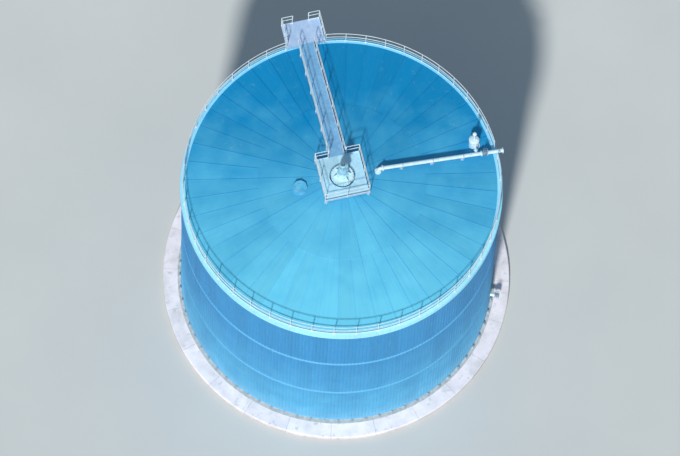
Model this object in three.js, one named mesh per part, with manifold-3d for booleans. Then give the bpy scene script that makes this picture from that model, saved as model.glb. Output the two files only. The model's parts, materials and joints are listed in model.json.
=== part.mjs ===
// Biogas digester: a round insulated steel tank on a concrete foundation, with a conical roof,
// a top-entry mixer in the middle, a walkway from the edge to the mixer, a railing round the roof,
// and a gas line that leaves over the roof's edge.
// Millimetres, +Z up. The origin is the centre of the foundation's underside. +Y points from the
// tank's axis to the catwalk landing, and +X to the end of the gas line.
import * as THREE from 'three';
import { mergeVertices } from 'three/addons/utils/BufferGeometryUtils.js';
import Module from 'manifold-3d';

const wasm = await Module();
wasm.setup();

// Driving dimensions of the tank
const TANK_RADIUS = 10000;
const WALL_THICKNESS = 160;
const COURSE_HEIGHT = 5000;
const COURSE_NAMES = ['lower', 'middle', 'upper'];
const FOUNDATION_LEDGE = 1200;
const FOUNDATION_HEIGHT = 400;
const FOUNDATION_CHAMFER = 40;
const FLOOR_THICKNESS = 30;
const ROOF_SLOPE = 9 * Math.PI / 180;
const ROOF_OVERHANG = 110;
const ROOF_EDGE_THICKNESS = 90;
const ROOF_OPENING_RADIUS = 650;
const FACETS = 72;
const QUARTERS = { east: 0, north: 90, west: 180, south: 270 };

// Clearance between pieces that touch on sloping or curved faces
const SEAT_GAP = 0.3;
const CONE_SEAT_GAP = 0.7;

// Heights and radii that follow from the driving dimensions
const FOUNDATION_RADIUS = TANK_RADIUS + FOUNDATION_LEDGE;
const INNER_RADIUS = TANK_RADIUS - WALL_THICKNESS;
const WALL_TOP = FOUNDATION_HEIGHT + COURSE_NAMES.length * COURSE_HEIGHT;
const ROOF_EDGE_RADIUS = TANK_RADIUS + ROOF_OVERHANG;
const ROOF_EDGE_TOP = WALL_TOP + ROOF_EDGE_THICKNESS;
const SLOPE_RISE = Math.tan(ROOF_SLOPE);

// Base ring and eave ring
const BASE_RING_WIDTH = 260;
const BASE_RING_PLATE = 40;
const BASE_RING_UPSTAND = 240;
const EAVE_RING_DEPTH = 220;
const EAVE_RING_CHAMFER = 30;

// Railings
const RAIL_HEIGHT = 1100;
const MID_RAIL_HEIGHT = 580;
const POST_SIZE = 50;
const TOP_RAIL_SIZE = 45;
const MID_RAIL_SIZE = 35;
const EDGE_RAIL_RADIUS = TANK_RADIUS - 50;
const EDGE_RAIL_BAYS = 11;
const GAS_GAP_ANGLE = 2.4;
const WEST_JOINT_ANGLE = 182;

// Walkway, platform and landing: the deck follows the roof at a fixed height above it
const DECK_ABOVE_ROOF = 320;
const DECK_THICKNESS = 50;
const FRAME_DEPTH = 140;
const FRAME_WIDTH = 80;
const LEG_SIZE = 60;
const WALKWAY_HALF_WIDTH = 500;
const STRINGER_WIDTH = 50;
const WALKWAY_STATIONS = 6;
const PLATFORM_HALF = 1400;
const PLATFORM_HOLE_RADIUS = 800;
const PLATFORM_TRIMMER = 880;
const LANDING_INNER = TANK_RADIUS - 150;
const LANDING_OUTER = LANDING_INNER + 1600;
const LANDING_HALF_WIDTH = 1250;
const BRIDGE_HALF_WIDTH = 500;
const BRACKET_OFFSET = 1000;
const BRACKET_FOOT = 14300;
const BRACKET_LEG = 100;

// Mixer on the roof's centre. A profile lists [radius, height above the piece's foot], going up.
const FLANGE_THICKNESS = 32;
const NECK_RADIUS = 600;
const NECK_WALL = 30;
const NECK_PAD_RADIUS = 780;
const NECK_PAD_THICKNESS = 20;
const NECK_FLANGE_RADIUS = 720;
const NECK_TOP = 17300;
const STAND_HEIGHT = 640;
const STAND_FLANGE_RADIUS = 330;
const STAND_PROFILE = [
  [NECK_FLANGE_RADIUS, 0],
  [NECK_FLANGE_RADIUS, FLANGE_THICKNESS],
  [360, FLANGE_THICKNESS],
  [280, STAND_HEIGHT - FLANGE_THICKNESS],
  [STAND_FLANGE_RADIUS, STAND_HEIGHT - FLANGE_THICKNESS],
  [STAND_FLANGE_RADIUS, STAND_HEIGHT],
];
const STAND_RIB = { reach: 560, halfThickness: 12, sunk: 2, height: 320, angles: [0, 60, 120] };
const GEARBOX_HEIGHT = 480;
const GEARBOX_PROFILE = [
  [STAND_FLANGE_RADIUS, 0],
  [STAND_FLANGE_RADIUS, FLANGE_THICKNESS],
  [290, 60],
  [290, 360],
  [230, 420],
  [260, 450],
  [260, GEARBOX_HEIGHT],
];
const GEARBOX_COVER = { reach: 340, halfWidth: 90, low: 130, high: 300 };
const MOTOR_HEIGHT = 740;
const MOTOR_PROFILE = [
  [260, 0],
  [260, 30],
  [215, 60],
  [215, 560],
  [225, 560],
  [225, 690],
  [180, MOTOR_HEIGHT],
];
const TERMINAL_BOX = { near: 150, far: 330, halfWidth: 100, low: 220, high: 400 };

// Gate valves: sizes as shares of the pipe's radius, then the sizes of the wheel and the spindle
const VALVE_SHARES = {
  bonnetRadius: 0.85,
  bonnetTop: 1.9,
  yokeRadius: 0.35,
  yokeFoot: 1.8,
  yokeTop: 2.7,
  wheelHeight: 3.4,
  wheelRadius: 1.25,
  bore: 0.8,
};
const WHEEL_RIM_RADIUS = 14;
const WHEEL_SPOKE_WIDTH = 18;
const SPINDLE = { radius: 22, aboveWheel: 40 };

// Gas line along +X
const GAS_PIPE_RADIUS = 120;
const GAS_FLANGE_RADIUS = 190;
const GAS_PAD_RADIUS = 216;
const ROOF_PAD_HEIGHT = 50;
const GAS_TAKEOFF_X = 2300;
const GAS_BEND_RADIUS = 250;
const GAS_ABOVE_ROOF = 450;
const GAS_RUN = 6500;
const GAS_VALVE_LENGTH = 350;
const GAS_OUTLET_LENGTH = 1050;
const PIPE_STAND_STATIONS = [1300, 3300, 5300];
const SADDLE = { thickness: 12, halfLength: 70 };
const RELIEF_POT = { x: 8700, y: 800, radius: 300, height: 1000, headRadius: 225, headHeight: 80 };
const RELIEF_BRANCH_RADIUS = 80;
const RELIEF_VENT = { radius: 55, height: 900, sunk: 20 };
const VENT_HOOD = { radius: 130, belowMouth: 60, aboveMouth: 40 };

// Fittings low on the wall, at angles that are the middle of a wall facet
const FACET_ANGLE = 360 / FACETS;
const MANHOLE = { angle: 7.5 * FACET_ANGLE, height: 1250, radius: 400, reach: 260 };
const MANHOLE_FLANGE_RADIUS = 480;
const MANHOLE_COLLAR_RADIUS = 520;
const FEED = { angle: -4.5 * FACET_ANGLE, height: 1300 };
const DRAIN = { angle: 4.5 * FACET_ANGLE, height: 900 };
const NOZZLE_RADIUS = 110;
const NOZZLE_FLANGE_RADIUS = 175;
const NOZZLE_COLLAR_RADIUS = 215;
const NOZZLE_REACH = 320;
const NOZZLE_VALVE_LENGTH = 300;
const WALL_COLLAR_THICKNESS = 12;

// Roof hatch
const HATCH = { x: -2700, radius: 350, height: 260, lidRadius: 420, padRadius: 472.5 };
const HATCH_HINGE = { half: 60, low: -60, high: 20 };

// Finishes
const finish = (color, roughness, metalness) =>
  new THREE.MeshStandardMaterial({ color, roughness, metalness });
const CONCRETE = finish(0xe2e8ea, 0.9, 0);
const CLADDING = finish(0x4fabdd, 0.45, 0.1);
const ROOF_SHEET = finish(0x4cb6e8, 0.4, 0.1);
const PALE_TRIM = finish(0x93d8f5, 0.45, 0.1);
const GALVANISED = finish(0xb4c6d6, 0.5, 0.8);
const RAIL_PAINT = finish(0xd6e8f2, 0.45, 0.1);
const BARE_STEEL = finish(0x8b9499, 0.55, 0.8);
const MIXER_PAINT = finish(0xb9e2f4, 0.4, 0.1);
const PIPE_JACKET = finish(0xbfd3e4, 0.35, 0.8);
const VALVE_PAINT = finish(0x5f7f96, 0.5, 0.2);

const digester = new THREE.Group();

// Closed solids, joined and cut

function toSolid(geometry) {
  const bare = geometry.clone();
  bare.deleteAttribute('normal');
  bare.deleteAttribute('uv');
  const merged = mergeVertices(bare);
  const triVerts = [];
  for (let i = 0; i < merged.index.count; i += 3) {
    const [a, b, c] = merged.index.array.slice(i, i + 3);
    if (a !== b && b !== c && c !== a) {
      triVerts.push(a, b, c);
    }
  }
  const mesh = new wasm.Mesh({
    numProp: 3,
    vertProperties: merged.attributes.position.array,
    triVerts: new Uint32Array(triVerts),
  });
  return new wasm.Manifold(mesh);
}

function toGeometry(solid) {
  const mesh = solid.getMesh();
  const geometry = new THREE.BufferGeometry();
  geometry.setAttribute('position', new THREE.BufferAttribute(mesh.vertProperties, 3));
  geometry.setIndex(new THREE.BufferAttribute(mesh.triVerts, 1));
  const faceted = geometry.toNonIndexed();
  faceted.computeVertexNormals();
  return faceted;
}

function fuse(geometries) {
  return toGeometry(geometries.map(toSolid).reduce((whole, piece) => whole.add(piece)));
}

function cut(geometry, tools) {
  return toGeometry(tools.map(toSolid).reduce((whole, tool) => whole.subtract(tool), toSolid(geometry)));
}

function clip(geometry, region) {
  return toGeometry(toSolid(geometry).intersect(toSolid(region)));
}

function add(name, geometry, material, parent = digester) {
  const mesh = new THREE.Mesh(geometry, material);
  mesh.name = name;
  parent.add(mesh);
  return mesh;
}

// Basic shapes

function block([x0, x1], [y0, y1], [z0, z1]) {
  const geometry = new THREE.BoxGeometry(x1 - x0, y1 - y0, z1 - z0);
  return geometry.translate((x0 + x1) / 2, (y0 + y1) / 2, (z0 + z1) / 2);
}

function post(x, y, size, low, high, turn = 0) {
  const geometry = new THREE.BoxGeometry(size, size, high - low);
  return geometry.rotateZ(turn).translate(x, y, (low + high) / 2);
}

// A bar of rectangular section between two points, its height measured across its own axis
function bar(from, to, width, height) {
  const start = new THREE.Vector3(...from);
  const end = new THREE.Vector3(...to);
  const along = end.clone().sub(start);
  const geometry = new THREE.BoxGeometry(along.length(), width, height);
  along.normalize();
  const side = new THREE.Vector3(0, 0, 1).cross(along).normalize();
  const up = along.clone().cross(side);
  geometry.applyMatrix4(new THREE.Matrix4().makeBasis(along, side, up));
  const middle = start.add(end).multiplyScalar(0.5);
  return geometry.translate(middle.x, middle.y, middle.z);
}

function upright(radius, low, high, sides = 16, topRadius = radius) {
  const geometry = new THREE.CylinderGeometry(topRadius, radius, high - low, sides);
  return geometry.rotateX(Math.PI / 2).translate(0, 0, (low + high) / 2);
}

function alongX(radius, from, to, sides = 16) {
  const geometry = new THREE.CylinderGeometry(radius, radius, to - from, sides);
  return geometry.rotateZ(Math.PI / 2).translate((from + to) / 2, 0, 0);
}

// A ring or disc of the given (radius, height) profile, which closes on itself or on the axis
function turned(profile, sides = FACETS) {
  const points = profile.map(([radius, height]) => new THREE.Vector2(radius, height));
  if (profile[0][0] > 0) {
    points.push(points[0].clone());
  }
  return new THREE.LatheGeometry(points, sides).rotateX(Math.PI / 2);
}

// A solid on the tank's axis, from a list of [radius, height above its foot] going up
function stacked(profile, foot, sides) {
  const raised = profile.map(([radius, height]) => [radius, foot + height]);
  const top = raised[raised.length - 1][1];
  return turned([[0, foot], ...raised, [0, top]], sides);
}

// An upright wall of even thickness that follows part of a circle
function curvedWall(inner, outer, [low, high], [fromAngle, toAngle], steps) {
  const arc = (radius, order) => order.map((step) => {
    const angle = THREE.MathUtils.degToRad(fromAngle + (toAngle - fromAngle) * step / steps);
    return new THREE.Vector2(radius * Math.cos(angle), radius * Math.sin(angle));
  });
  const order = Array.from({ length: steps + 1 }, (_, step) => step);
  const outline = [...arc(outer, order), ...arc(inner, [...order].reverse())];
  const geometry = new THREE.ExtrudeGeometry(new THREE.Shape(outline), {
    depth: high - low,
    bevelEnabled: false,
  });
  return geometry.translate(0, 0, low);
}

// Heights over the roof

const roofTop = (radius) => ROOF_EDGE_TOP + (ROOF_EDGE_RADIUS - radius) * SLOPE_RISE;
const deckTop = (radius) => roofTop(radius) + DECK_ABOVE_ROOF;
const PLATFORM_TOP = deckTop(PLATFORM_HALF);
const LANDING_TOP = deckTop(LANDING_INNER);

// What the roof and the wall take up, with the clearance that keeps other pieces off them
const ROOF_SPACE = turned([
  [0, WALL_TOP - EAVE_RING_DEPTH],
  [ROOF_EDGE_RADIUS, WALL_TOP - EAVE_RING_DEPTH],
  [ROOF_EDGE_RADIUS, ROOF_EDGE_TOP + SEAT_GAP],
  [0, roofTop(0) + SEAT_GAP],
]);
const WALL_SPACE = upright(TANK_RADIUS + SEAT_GAP, 0, WALL_TOP, FACETS);

// Foundation, floor and the steel ring at the wall's foot

function addBase() {
  add('foundation', turned([
    [0, 0],
    [FOUNDATION_RADIUS, 0],
    [FOUNDATION_RADIUS, FOUNDATION_HEIGHT - FOUNDATION_CHAMFER],
    [FOUNDATION_RADIUS - FOUNDATION_CHAMFER, FOUNDATION_HEIGHT],
    [0, FOUNDATION_HEIGHT],
  ]), CONCRETE);
  const floorTop = FOUNDATION_HEIGHT + FLOOR_THICKNESS;
  add('tank_floor', upright(INNER_RADIUS - SEAT_GAP, FOUNDATION_HEIGHT, floorTop, FACETS), BARE_STEEL);
  const ringInner = TANK_RADIUS + SEAT_GAP;
  add('base_ring', turned([
    [ringInner, FOUNDATION_HEIGHT],
    [TANK_RADIUS + BASE_RING_WIDTH, FOUNDATION_HEIGHT],
    [TANK_RADIUS + BASE_RING_WIDTH, FOUNDATION_HEIGHT + BASE_RING_PLATE],
    [TANK_RADIUS + BASE_RING_PLATE, FOUNDATION_HEIGHT + BASE_RING_PLATE],
    [TANK_RADIUS + BASE_RING_PLATE, FOUNDATION_HEIGHT + BASE_RING_UPSTAND],
    [ringInner, FOUNDATION_HEIGHT + BASE_RING_UPSTAND],
  ]), BARE_STEEL);
}

// Wall: three courses of four curved panels

function addWall() {
  const gapAngle = THREE.MathUtils.radToDeg(SEAT_GAP / INNER_RADIUS) / 2;
  COURSE_NAMES.forEach((course, index) => {
    const low = FOUNDATION_HEIGHT + index * COURSE_HEIGHT;
    const heights = [low, low + COURSE_HEIGHT];
    for (const [side, angle] of Object.entries(QUARTERS)) {
      const span = [angle - 45 + gapAngle, angle + 45 - gapAngle];
      const panel = curvedWall(INNER_RADIUS, TANK_RADIUS, heights, span, FACETS / 4);
      add(`wall_${course}_${side}`, panel, CLADDING);
    }
  });
}

// Roof: a conical shell in four sectors, open in the middle, and the ring under its edge

function addRoof() {
  const openingTop = roofTop(ROOF_OPENING_RADIUS);
  const underside = (radius) => WALL_TOP + (INNER_RADIUS - radius) * SLOPE_RISE;
  const shell = turned([
    [ROOF_OPENING_RADIUS, underside(ROOF_OPENING_RADIUS)],
    [INNER_RADIUS, WALL_TOP],
    [ROOF_EDGE_RADIUS, WALL_TOP],
    [ROOF_EDGE_RADIUS, ROOF_EDGE_TOP],
    [ROOF_OPENING_RADIUS, openingTop],
  ]);
  const reach = 2 * ROOF_EDGE_RADIUS;
  const tip = SEAT_GAP / Math.SQRT2;
  for (const [side, angle] of Object.entries(QUARTERS)) {
    const wedge = new THREE.ExtrudeGeometry(new THREE.Shape([
      new THREE.Vector2(tip, 0),
      new THREE.Vector2(tip + reach, -reach),
      new THREE.Vector2(tip + reach, reach),
    ]), { depth: 2 * WALL_TOP, bevelEnabled: false });
    wedge.rotateZ(THREE.MathUtils.degToRad(angle));
    add(`roof_${side}`, clip(shell, wedge), ROOF_SHEET);
  }
  const ringInner = TANK_RADIUS + SEAT_GAP;
  add('eave_ring', turned([
    [ringInner, WALL_TOP - EAVE_RING_DEPTH],
    [ROOF_EDGE_RADIUS - EAVE_RING_CHAMFER, WALL_TOP - EAVE_RING_DEPTH],
    [ROOF_EDGE_RADIUS, WALL_TOP - EAVE_RING_DEPTH + EAVE_RING_CHAMFER],
    [ROOF_EDGE_RADIUS, WALL_TOP],
    [ringInner, WALL_TOP],
  ]), PALE_TRIM);
}

// Railing round the roof's edge, in four panels that leave gaps for the landing and the gas pipe.
// A panel that meets the next one has no last post: its rails end at the next panel's first post.

function addEdgeRailing() {
  const landingEnd = LANDING_HALF_WIDTH + POST_SIZE;
  const landingGap = THREE.MathUtils.radToDeg(Math.asin(landingEnd / EDGE_RAIL_RADIUS));
  const panels = {
    north_east: { span: [GAS_GAP_ANGLE, 90 - landingGap], lastPost: true },
    north_west: { span: [90 + landingGap, WEST_JOINT_ANGLE], lastPost: false },
    south_west: { span: [WEST_JOINT_ANGLE, 270], lastPost: false },
    south_east: { span: [270, 360 - GAS_GAP_ANGLE], lastPost: true },
  };
  const foot = roofTop(EDGE_RAIL_RADIUS);
  const halfPost = THREE.MathUtils.radToDeg(POST_SIZE / 2 / EDGE_RAIL_RADIUS);
  const gap = THREE.MathUtils.radToDeg(SEAT_GAP / EDGE_RAIL_RADIUS);
  const rails = [
    { size: TOP_RAIL_SIZE, low: foot + RAIL_HEIGHT - TOP_RAIL_SIZE },
    { size: MID_RAIL_SIZE, low: foot + MID_RAIL_HEIGHT },
  ];
  for (const [name, { span: [from, to], lastPost }] of Object.entries(panels)) {
    const railEnd = lastPost ? to : to - halfPost - gap;
    const pieces = rails.map(({ size, low }) => {
      const inner = EDGE_RAIL_RADIUS - size / 2;
      return curvedWall(inner, inner + size, [low, low + size], [from, railEnd], EDGE_RAIL_BAYS);
    });
    const postCount = lastPost ? EDGE_RAIL_BAYS + 1 : EDGE_RAIL_BAYS;
    for (let index = 0; index < postCount; index += 1) {
      const angle = THREE.MathUtils.degToRad(from + (to - from) * index / EDGE_RAIL_BAYS);
      const x = EDGE_RAIL_RADIUS * Math.cos(angle);
      const y = EDGE_RAIL_RADIUS * Math.sin(angle);
      pieces.push(post(x, y, POST_SIZE, foot - POST_SIZE, foot + RAIL_HEIGHT - TOP_RAIL_SIZE / 2, angle));
    }
    add(`edge_rail_${name}`, cut(fuse(pieces), [ROOF_SPACE]), RAIL_PAINT);
  }
}

// A straight or bent railing: posts, top rail and mid rail. The route is a list of
// [x, y, deck height] corners, and posts stand at the listed places. They are bolted to the outside
// of a deck's frame, or stand on the deck.

function railing(route, posts, postDrop = FRAME_DEPTH) {
  const pieces = [];
  const rails = [
    { height: RAIL_HEIGHT - TOP_RAIL_SIZE / 2, width: TOP_RAIL_SIZE, depth: TOP_RAIL_SIZE },
    { height: MID_RAIL_HEIGHT + MID_RAIL_SIZE / 2, width: MID_RAIL_SIZE, depth: MID_RAIL_SIZE },
  ];
  for (const { height, width, depth } of rails) {
    for (let index = 1; index < route.length; index += 1) {
      const [from, to] = [route[index - 1], route[index]];
      const lift = ([x, y, deck]) => [x, y, deck + height];
      pieces.push(bar(lift(from), lift(to), width, depth));
    }
  }
  for (const [x, y, deck] of posts) {
    pieces.push(post(x, y, POST_SIZE, deck - postDrop, deck + RAIL_HEIGHT - TOP_RAIL_SIZE / 2));
  }
  return fuse(pieces);
}

// Landing at the roof's edge, on two wall brackets and two short legs

function addLanding() {
  const deckLow = LANDING_TOP - DECK_THICKNESS;
  const frameLow = deckLow - FRAME_DEPTH;
  const across = [-LANDING_HALF_WIDTH, LANDING_HALF_WIDTH];
  const inside = LANDING_HALF_WIDTH - FRAME_WIDTH;
  const pieces = [
    block(across, [LANDING_INNER, LANDING_OUTER], [deckLow, LANDING_TOP]),
    block(across, [LANDING_INNER, LANDING_INNER + FRAME_WIDTH], [frameLow, deckLow]),
    block(across, [LANDING_OUTER - FRAME_WIDTH, LANDING_OUTER], [frameLow, deckLow]),
    block([-LANDING_HALF_WIDTH, -inside], [LANDING_INNER, LANDING_OUTER], [frameLow, deckLow]),
    block([inside, LANDING_HALF_WIDTH], [LANDING_INNER, LANDING_OUTER], [frameLow, deckLow]),
  ];
  const legNear = ROOF_EDGE_RADIUS + SEAT_GAP;
  const legFar = legNear + BRACKET_LEG;
  const half = FRAME_WIDTH / 2;
  const padHeight = 2 * BRACKET_LEG;
  const padHigh = WALL_TOP - EAVE_RING_DEPTH - BRACKET_LEG;
  for (const x of [-BRACKET_OFFSET, BRACKET_OFFSET]) {
    const width = [x - half, x + half];
    const padWidth = [x - BRACKET_LEG, x + BRACKET_LEG];
    const braceFoot = [x, legFar - half, BRACKET_FOOT + half];
    const braceHead = [x, LANDING_OUTER - half, frameLow];
    pieces.push(
      block(width, [LANDING_INNER, LANDING_OUTER], [frameLow, deckLow]),
      block(width, [legNear, legFar], [BRACKET_FOOT, deckLow]),
      bar(braceFoot, braceHead, FRAME_WIDTH, FRAME_WIDTH),
      block(padWidth, [INNER_RADIUS, legFar], [BRACKET_FOOT, BRACKET_FOOT + padHeight]),
      block(padWidth, [INNER_RADIUS, legFar], [padHigh - padHeight, padHigh]),
      post(x, LANDING_INNER + half, LEG_SIZE, roofTop(LANDING_INNER) - LEG_SIZE, deckLow),
    );
  }
  add('landing', cut(fuse(pieces), [ROOF_SPACE, WALL_SPACE]), GALVANISED);

  const railX = LANDING_HALF_WIDTH - POST_SIZE / 2;
  const railY = LANDING_OUTER - POST_SIZE / 2;
  const firstPost = LANDING_INNER + POST_SIZE;
  for (const [side, sign] of [['east', 1], ['west', -1]]) {
    const route = [
      [sign * railX, LANDING_INNER, LANDING_TOP],
      [sign * railX, railY, LANDING_TOP],
      [sign * BRIDGE_HALF_WIDTH, railY, LANDING_TOP],
    ];
    const posts = [
      [sign * railX, firstPost, LANDING_TOP],
      [sign * railX, (firstPost + railY) / 2, LANDING_TOP],
      [sign * railX, railY, LANDING_TOP],
      [sign * (BRIDGE_HALF_WIDTH + POST_SIZE / 2), railY, LANDING_TOP],
    ];
    add(`landing_rail_${side}`, railing(route, posts, 0), RAIL_PAINT);
  }
}

// Walkway from the landing up the roof to the platform

function addWalkway() {
  const near = PLATFORM_HALF + SEAT_GAP;
  const far = LANDING_INNER - SEAT_GAP;
  const spacing = (far - near) / WALKWAY_STATIONS;
  const stations = [];
  for (let y = near + spacing / 2; y < far; y += spacing) {
    stations.push(y);
  }
  const width = WALKWAY_HALF_WIDTH;
  const reach = width + 2 * POST_SIZE;
  const span = block([-reach, reach], [near, far], [WALL_TOP, 2 * WALL_TOP]);
  const sloped = (x, depthBelow, barWidth, barHeight) => {
    const offset = depthBelow + barHeight / 2 / Math.cos(ROOF_SLOPE);
    const start = near - FRAME_DEPTH;
    const end = far + FRAME_DEPTH;
    return bar([x, start, deckTop(start) - offset], [x, end, deckTop(end) - offset], barWidth, barHeight);
  };
  const pieces = [sloped(0, 0, 2 * width - STRINGER_WIDTH, DECK_THICKNESS)];
  for (const sign of [-1, 1]) {
    const x = sign * (width - STRINGER_WIDTH / 2);
    pieces.push(sloped(x, 0, STRINGER_WIDTH, FRAME_DEPTH));
    for (const y of stations) {
      const legX = sign * (width - LEG_SIZE / 2);
      pieces.push(post(legX, y, LEG_SIZE, roofTop(y) - LEG_SIZE, deckTop(y) - DECK_THICKNESS));
    }
  }
  const inside = width - STRINGER_WIDTH / 2;
  for (const y of stations) {
    const top = deckTop(y + LEG_SIZE / 2) - DECK_THICKNESS / 2;
    const low = top - LEG_SIZE - DECK_THICKNESS / 2;
    pieces.push(block([-inside, inside], [y - LEG_SIZE / 2, y + LEG_SIZE / 2], [low, top]));
  }
  add('walkway', cut(clip(fuse(pieces), span), [ROOF_SPACE]), GALVANISED);

  const railX = width + SEAT_GAP + POST_SIZE / 2;
  for (const [side, sign] of [['east', 1], ['west', -1]]) {
    const x = sign * railX;
    const route = [near - POST_SIZE, far + POST_SIZE].map((y) => [x, y, deckTop(y)]);
    const posts = stations.map((y) => [x, y, deckTop(y)]);
    add(`walkway_rail_${side}`, clip(railing(route, posts), span), RAIL_PAINT);
  }
}

// Square platform round the mixer, open in the middle

function addPlatform() {
  const deckLow = PLATFORM_TOP - DECK_THICKNESS;
  const frameLow = deckLow - FRAME_DEPTH;
  const half = PLATFORM_HALF;
  const full = [-half, half];
  const pieces = [block(full, full, [deckLow, PLATFORM_TOP])];
  for (const sign of [-1, 1]) {
    for (const offset of [half - FRAME_WIDTH / 2, PLATFORM_TRIMMER]) {
      const lane = [sign * offset - FRAME_WIDTH / 2, sign * offset + FRAME_WIDTH / 2];
      pieces.push(block(lane, full, [frameLow, deckLow]), block(full, lane, [frameLow, deckLow]));
    }
    for (const x of [-half + FRAME_WIDTH / 2, half - FRAME_WIDTH / 2]) {
      const y = sign * (half - FRAME_WIDTH / 2);
      pieces.push(post(x, y, LEG_SIZE, roofTop(half * Math.SQRT2) - LEG_SIZE, deckLow));
    }
  }
  const hole = upright(PLATFORM_HOLE_RADIUS, frameLow, PLATFORM_TOP + DECK_THICKNESS, 32);
  add('platform', cut(fuse(pieces), [hole, ROOF_SPACE]), GALVANISED);

  const edge = half + SEAT_GAP + POST_SIZE / 2;
  const entry = WALKWAY_HALF_WIDTH + POST_SIZE + 2 * SEAT_GAP;
  const level = (x, y) => [x, y, PLATFORM_TOP];
  const route = [level(entry, edge), level(edge, edge), level(edge, -edge), level(-edge, -edge),
    level(-edge, edge), level(-entry, edge)];
  const posts = [level(entry + POST_SIZE / 2, edge), level(-entry - POST_SIZE / 2, edge), level(0, -edge),
    level(edge, 0), level(-edge, 0), level(edge, edge), level(-edge, edge), level(edge, -edge),
    level(-edge, -edge)];
  add('platform_rail', railing(route, posts), RAIL_PAINT);
}

// Mixer: neck through the roof, bearing stand, gearbox and upright motor

function addMixer() {
  const inner = NECK_RADIUS - NECK_WALL;
  const low = WALL_TOP + (INNER_RADIUS - ROOF_OPENING_RADIUS) * SLOPE_RISE - NECK_WALL;
  const seat = (radius) => roofTop(radius) + CONE_SEAT_GAP;
  add('mixer_neck', turned([
    [inner, low],
    [NECK_RADIUS, low],
    [NECK_RADIUS, seat(NECK_RADIUS)],
    [NECK_PAD_RADIUS, seat(NECK_PAD_RADIUS)],
    [NECK_PAD_RADIUS, seat(NECK_PAD_RADIUS) + NECK_PAD_THICKNESS],
    [NECK_RADIUS, seat(NECK_RADIUS) + NECK_PAD_THICKNESS],
    [NECK_RADIUS, NECK_TOP - FLANGE_THICKNESS],
    [NECK_FLANGE_RADIUS, NECK_TOP - FLANGE_THICKNESS],
    [NECK_FLANGE_RADIUS, NECK_TOP],
    [inner, NECK_TOP],
  ], FACETS / 2), MIXER_PAINT);

  const ribFoot = NECK_TOP + FLANGE_THICKNESS;
  const { reach, halfThickness, sunk, height, angles } = STAND_RIB;
  const ribs = angles.map((angle) => {
    const rib = block([-reach, reach], [-halfThickness, halfThickness], [ribFoot - sunk, ribFoot + height]);
    return rib.rotateZ(THREE.MathUtils.degToRad(angle));
  });
  add('mixer_stand', fuse([stacked(STAND_PROFILE, NECK_TOP, 24), ...ribs]), MIXER_PAINT);

  const standTop = NECK_TOP + STAND_HEIGHT;
  const cover = GEARBOX_COVER;
  const coverHeights = [standTop + cover.low, standTop + cover.high];
  add('mixer_gearbox', fuse([
    stacked(GEARBOX_PROFILE, standTop, 20),
    block([0, cover.reach], [-cover.halfWidth, cover.halfWidth], coverHeights),
  ]), MIXER_PAINT);

  const gearboxTop = standTop + GEARBOX_HEIGHT;
  const { near, far, halfWidth } = TERMINAL_BOX;
  const boxHeights = [gearboxTop + TERMINAL_BOX.low, gearboxTop + TERMINAL_BOX.high];
  add('mixer_motor', fuse([
    stacked(MOTOR_PROFILE, gearboxTop, 20),
    block([near, far], [-halfWidth, halfWidth], boxHeights),
  ]), MIXER_PAINT);
}

// A gate valve along X from its first flange, with its handwheel up

function gateValve(length, pipeRadius, flangeRadius) {
  const sizes = Object.entries(VALVE_SHARES).map(([part, share]) => [part, share * pipeRadius]);
  const valve = Object.fromEntries(sizes);
  const rim = new THREE.TorusGeometry(valve.wheelRadius, WHEEL_RIM_RADIUS, 4, 12);
  const spokes = [0, 90].map((angle) => {
    const spoke = new THREE.BoxGeometry(2 * valve.wheelRadius, WHEEL_SPOKE_WIDTH, WHEEL_RIM_RADIUS);
    return spoke.rotateZ(THREE.MathUtils.degToRad(angle));
  });
  const wheel = [rim, ...spokes].map((shape) => shape.translate(0, 0, valve.wheelHeight));
  const raised = [
    upright(valve.bonnetRadius, 0, valve.bonnetTop, 10),
    upright(SPINDLE.radius, 0, valve.wheelHeight + SPINDLE.aboveWheel, 6),
    upright(valve.yokeRadius, valve.yokeFoot, valve.yokeTop, 8),
    ...wheel,
  ];
  const whole = fuse([
    alongX(flangeRadius, 0, FLANGE_THICKNESS, 12),
    alongX(flangeRadius, length - FLANGE_THICKNESS, length, 12),
    alongX(pipeRadius, FLANGE_THICKNESS / 2, length - FLANGE_THICKNESS / 2, 12),
    ...raised.map((shape) => shape.translate(length / 2, 0, 0)),
  ]);
  const mouth = alongX(valve.bore, length - 2 * FLANGE_THICKNESS, length + FLANGE_THICKNESS, 12);
  return cut(whole, [mouth]);
}

// Gas line: take-off near the middle, pipe down the roof, valve, and the outlet beyond the edge

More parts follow.
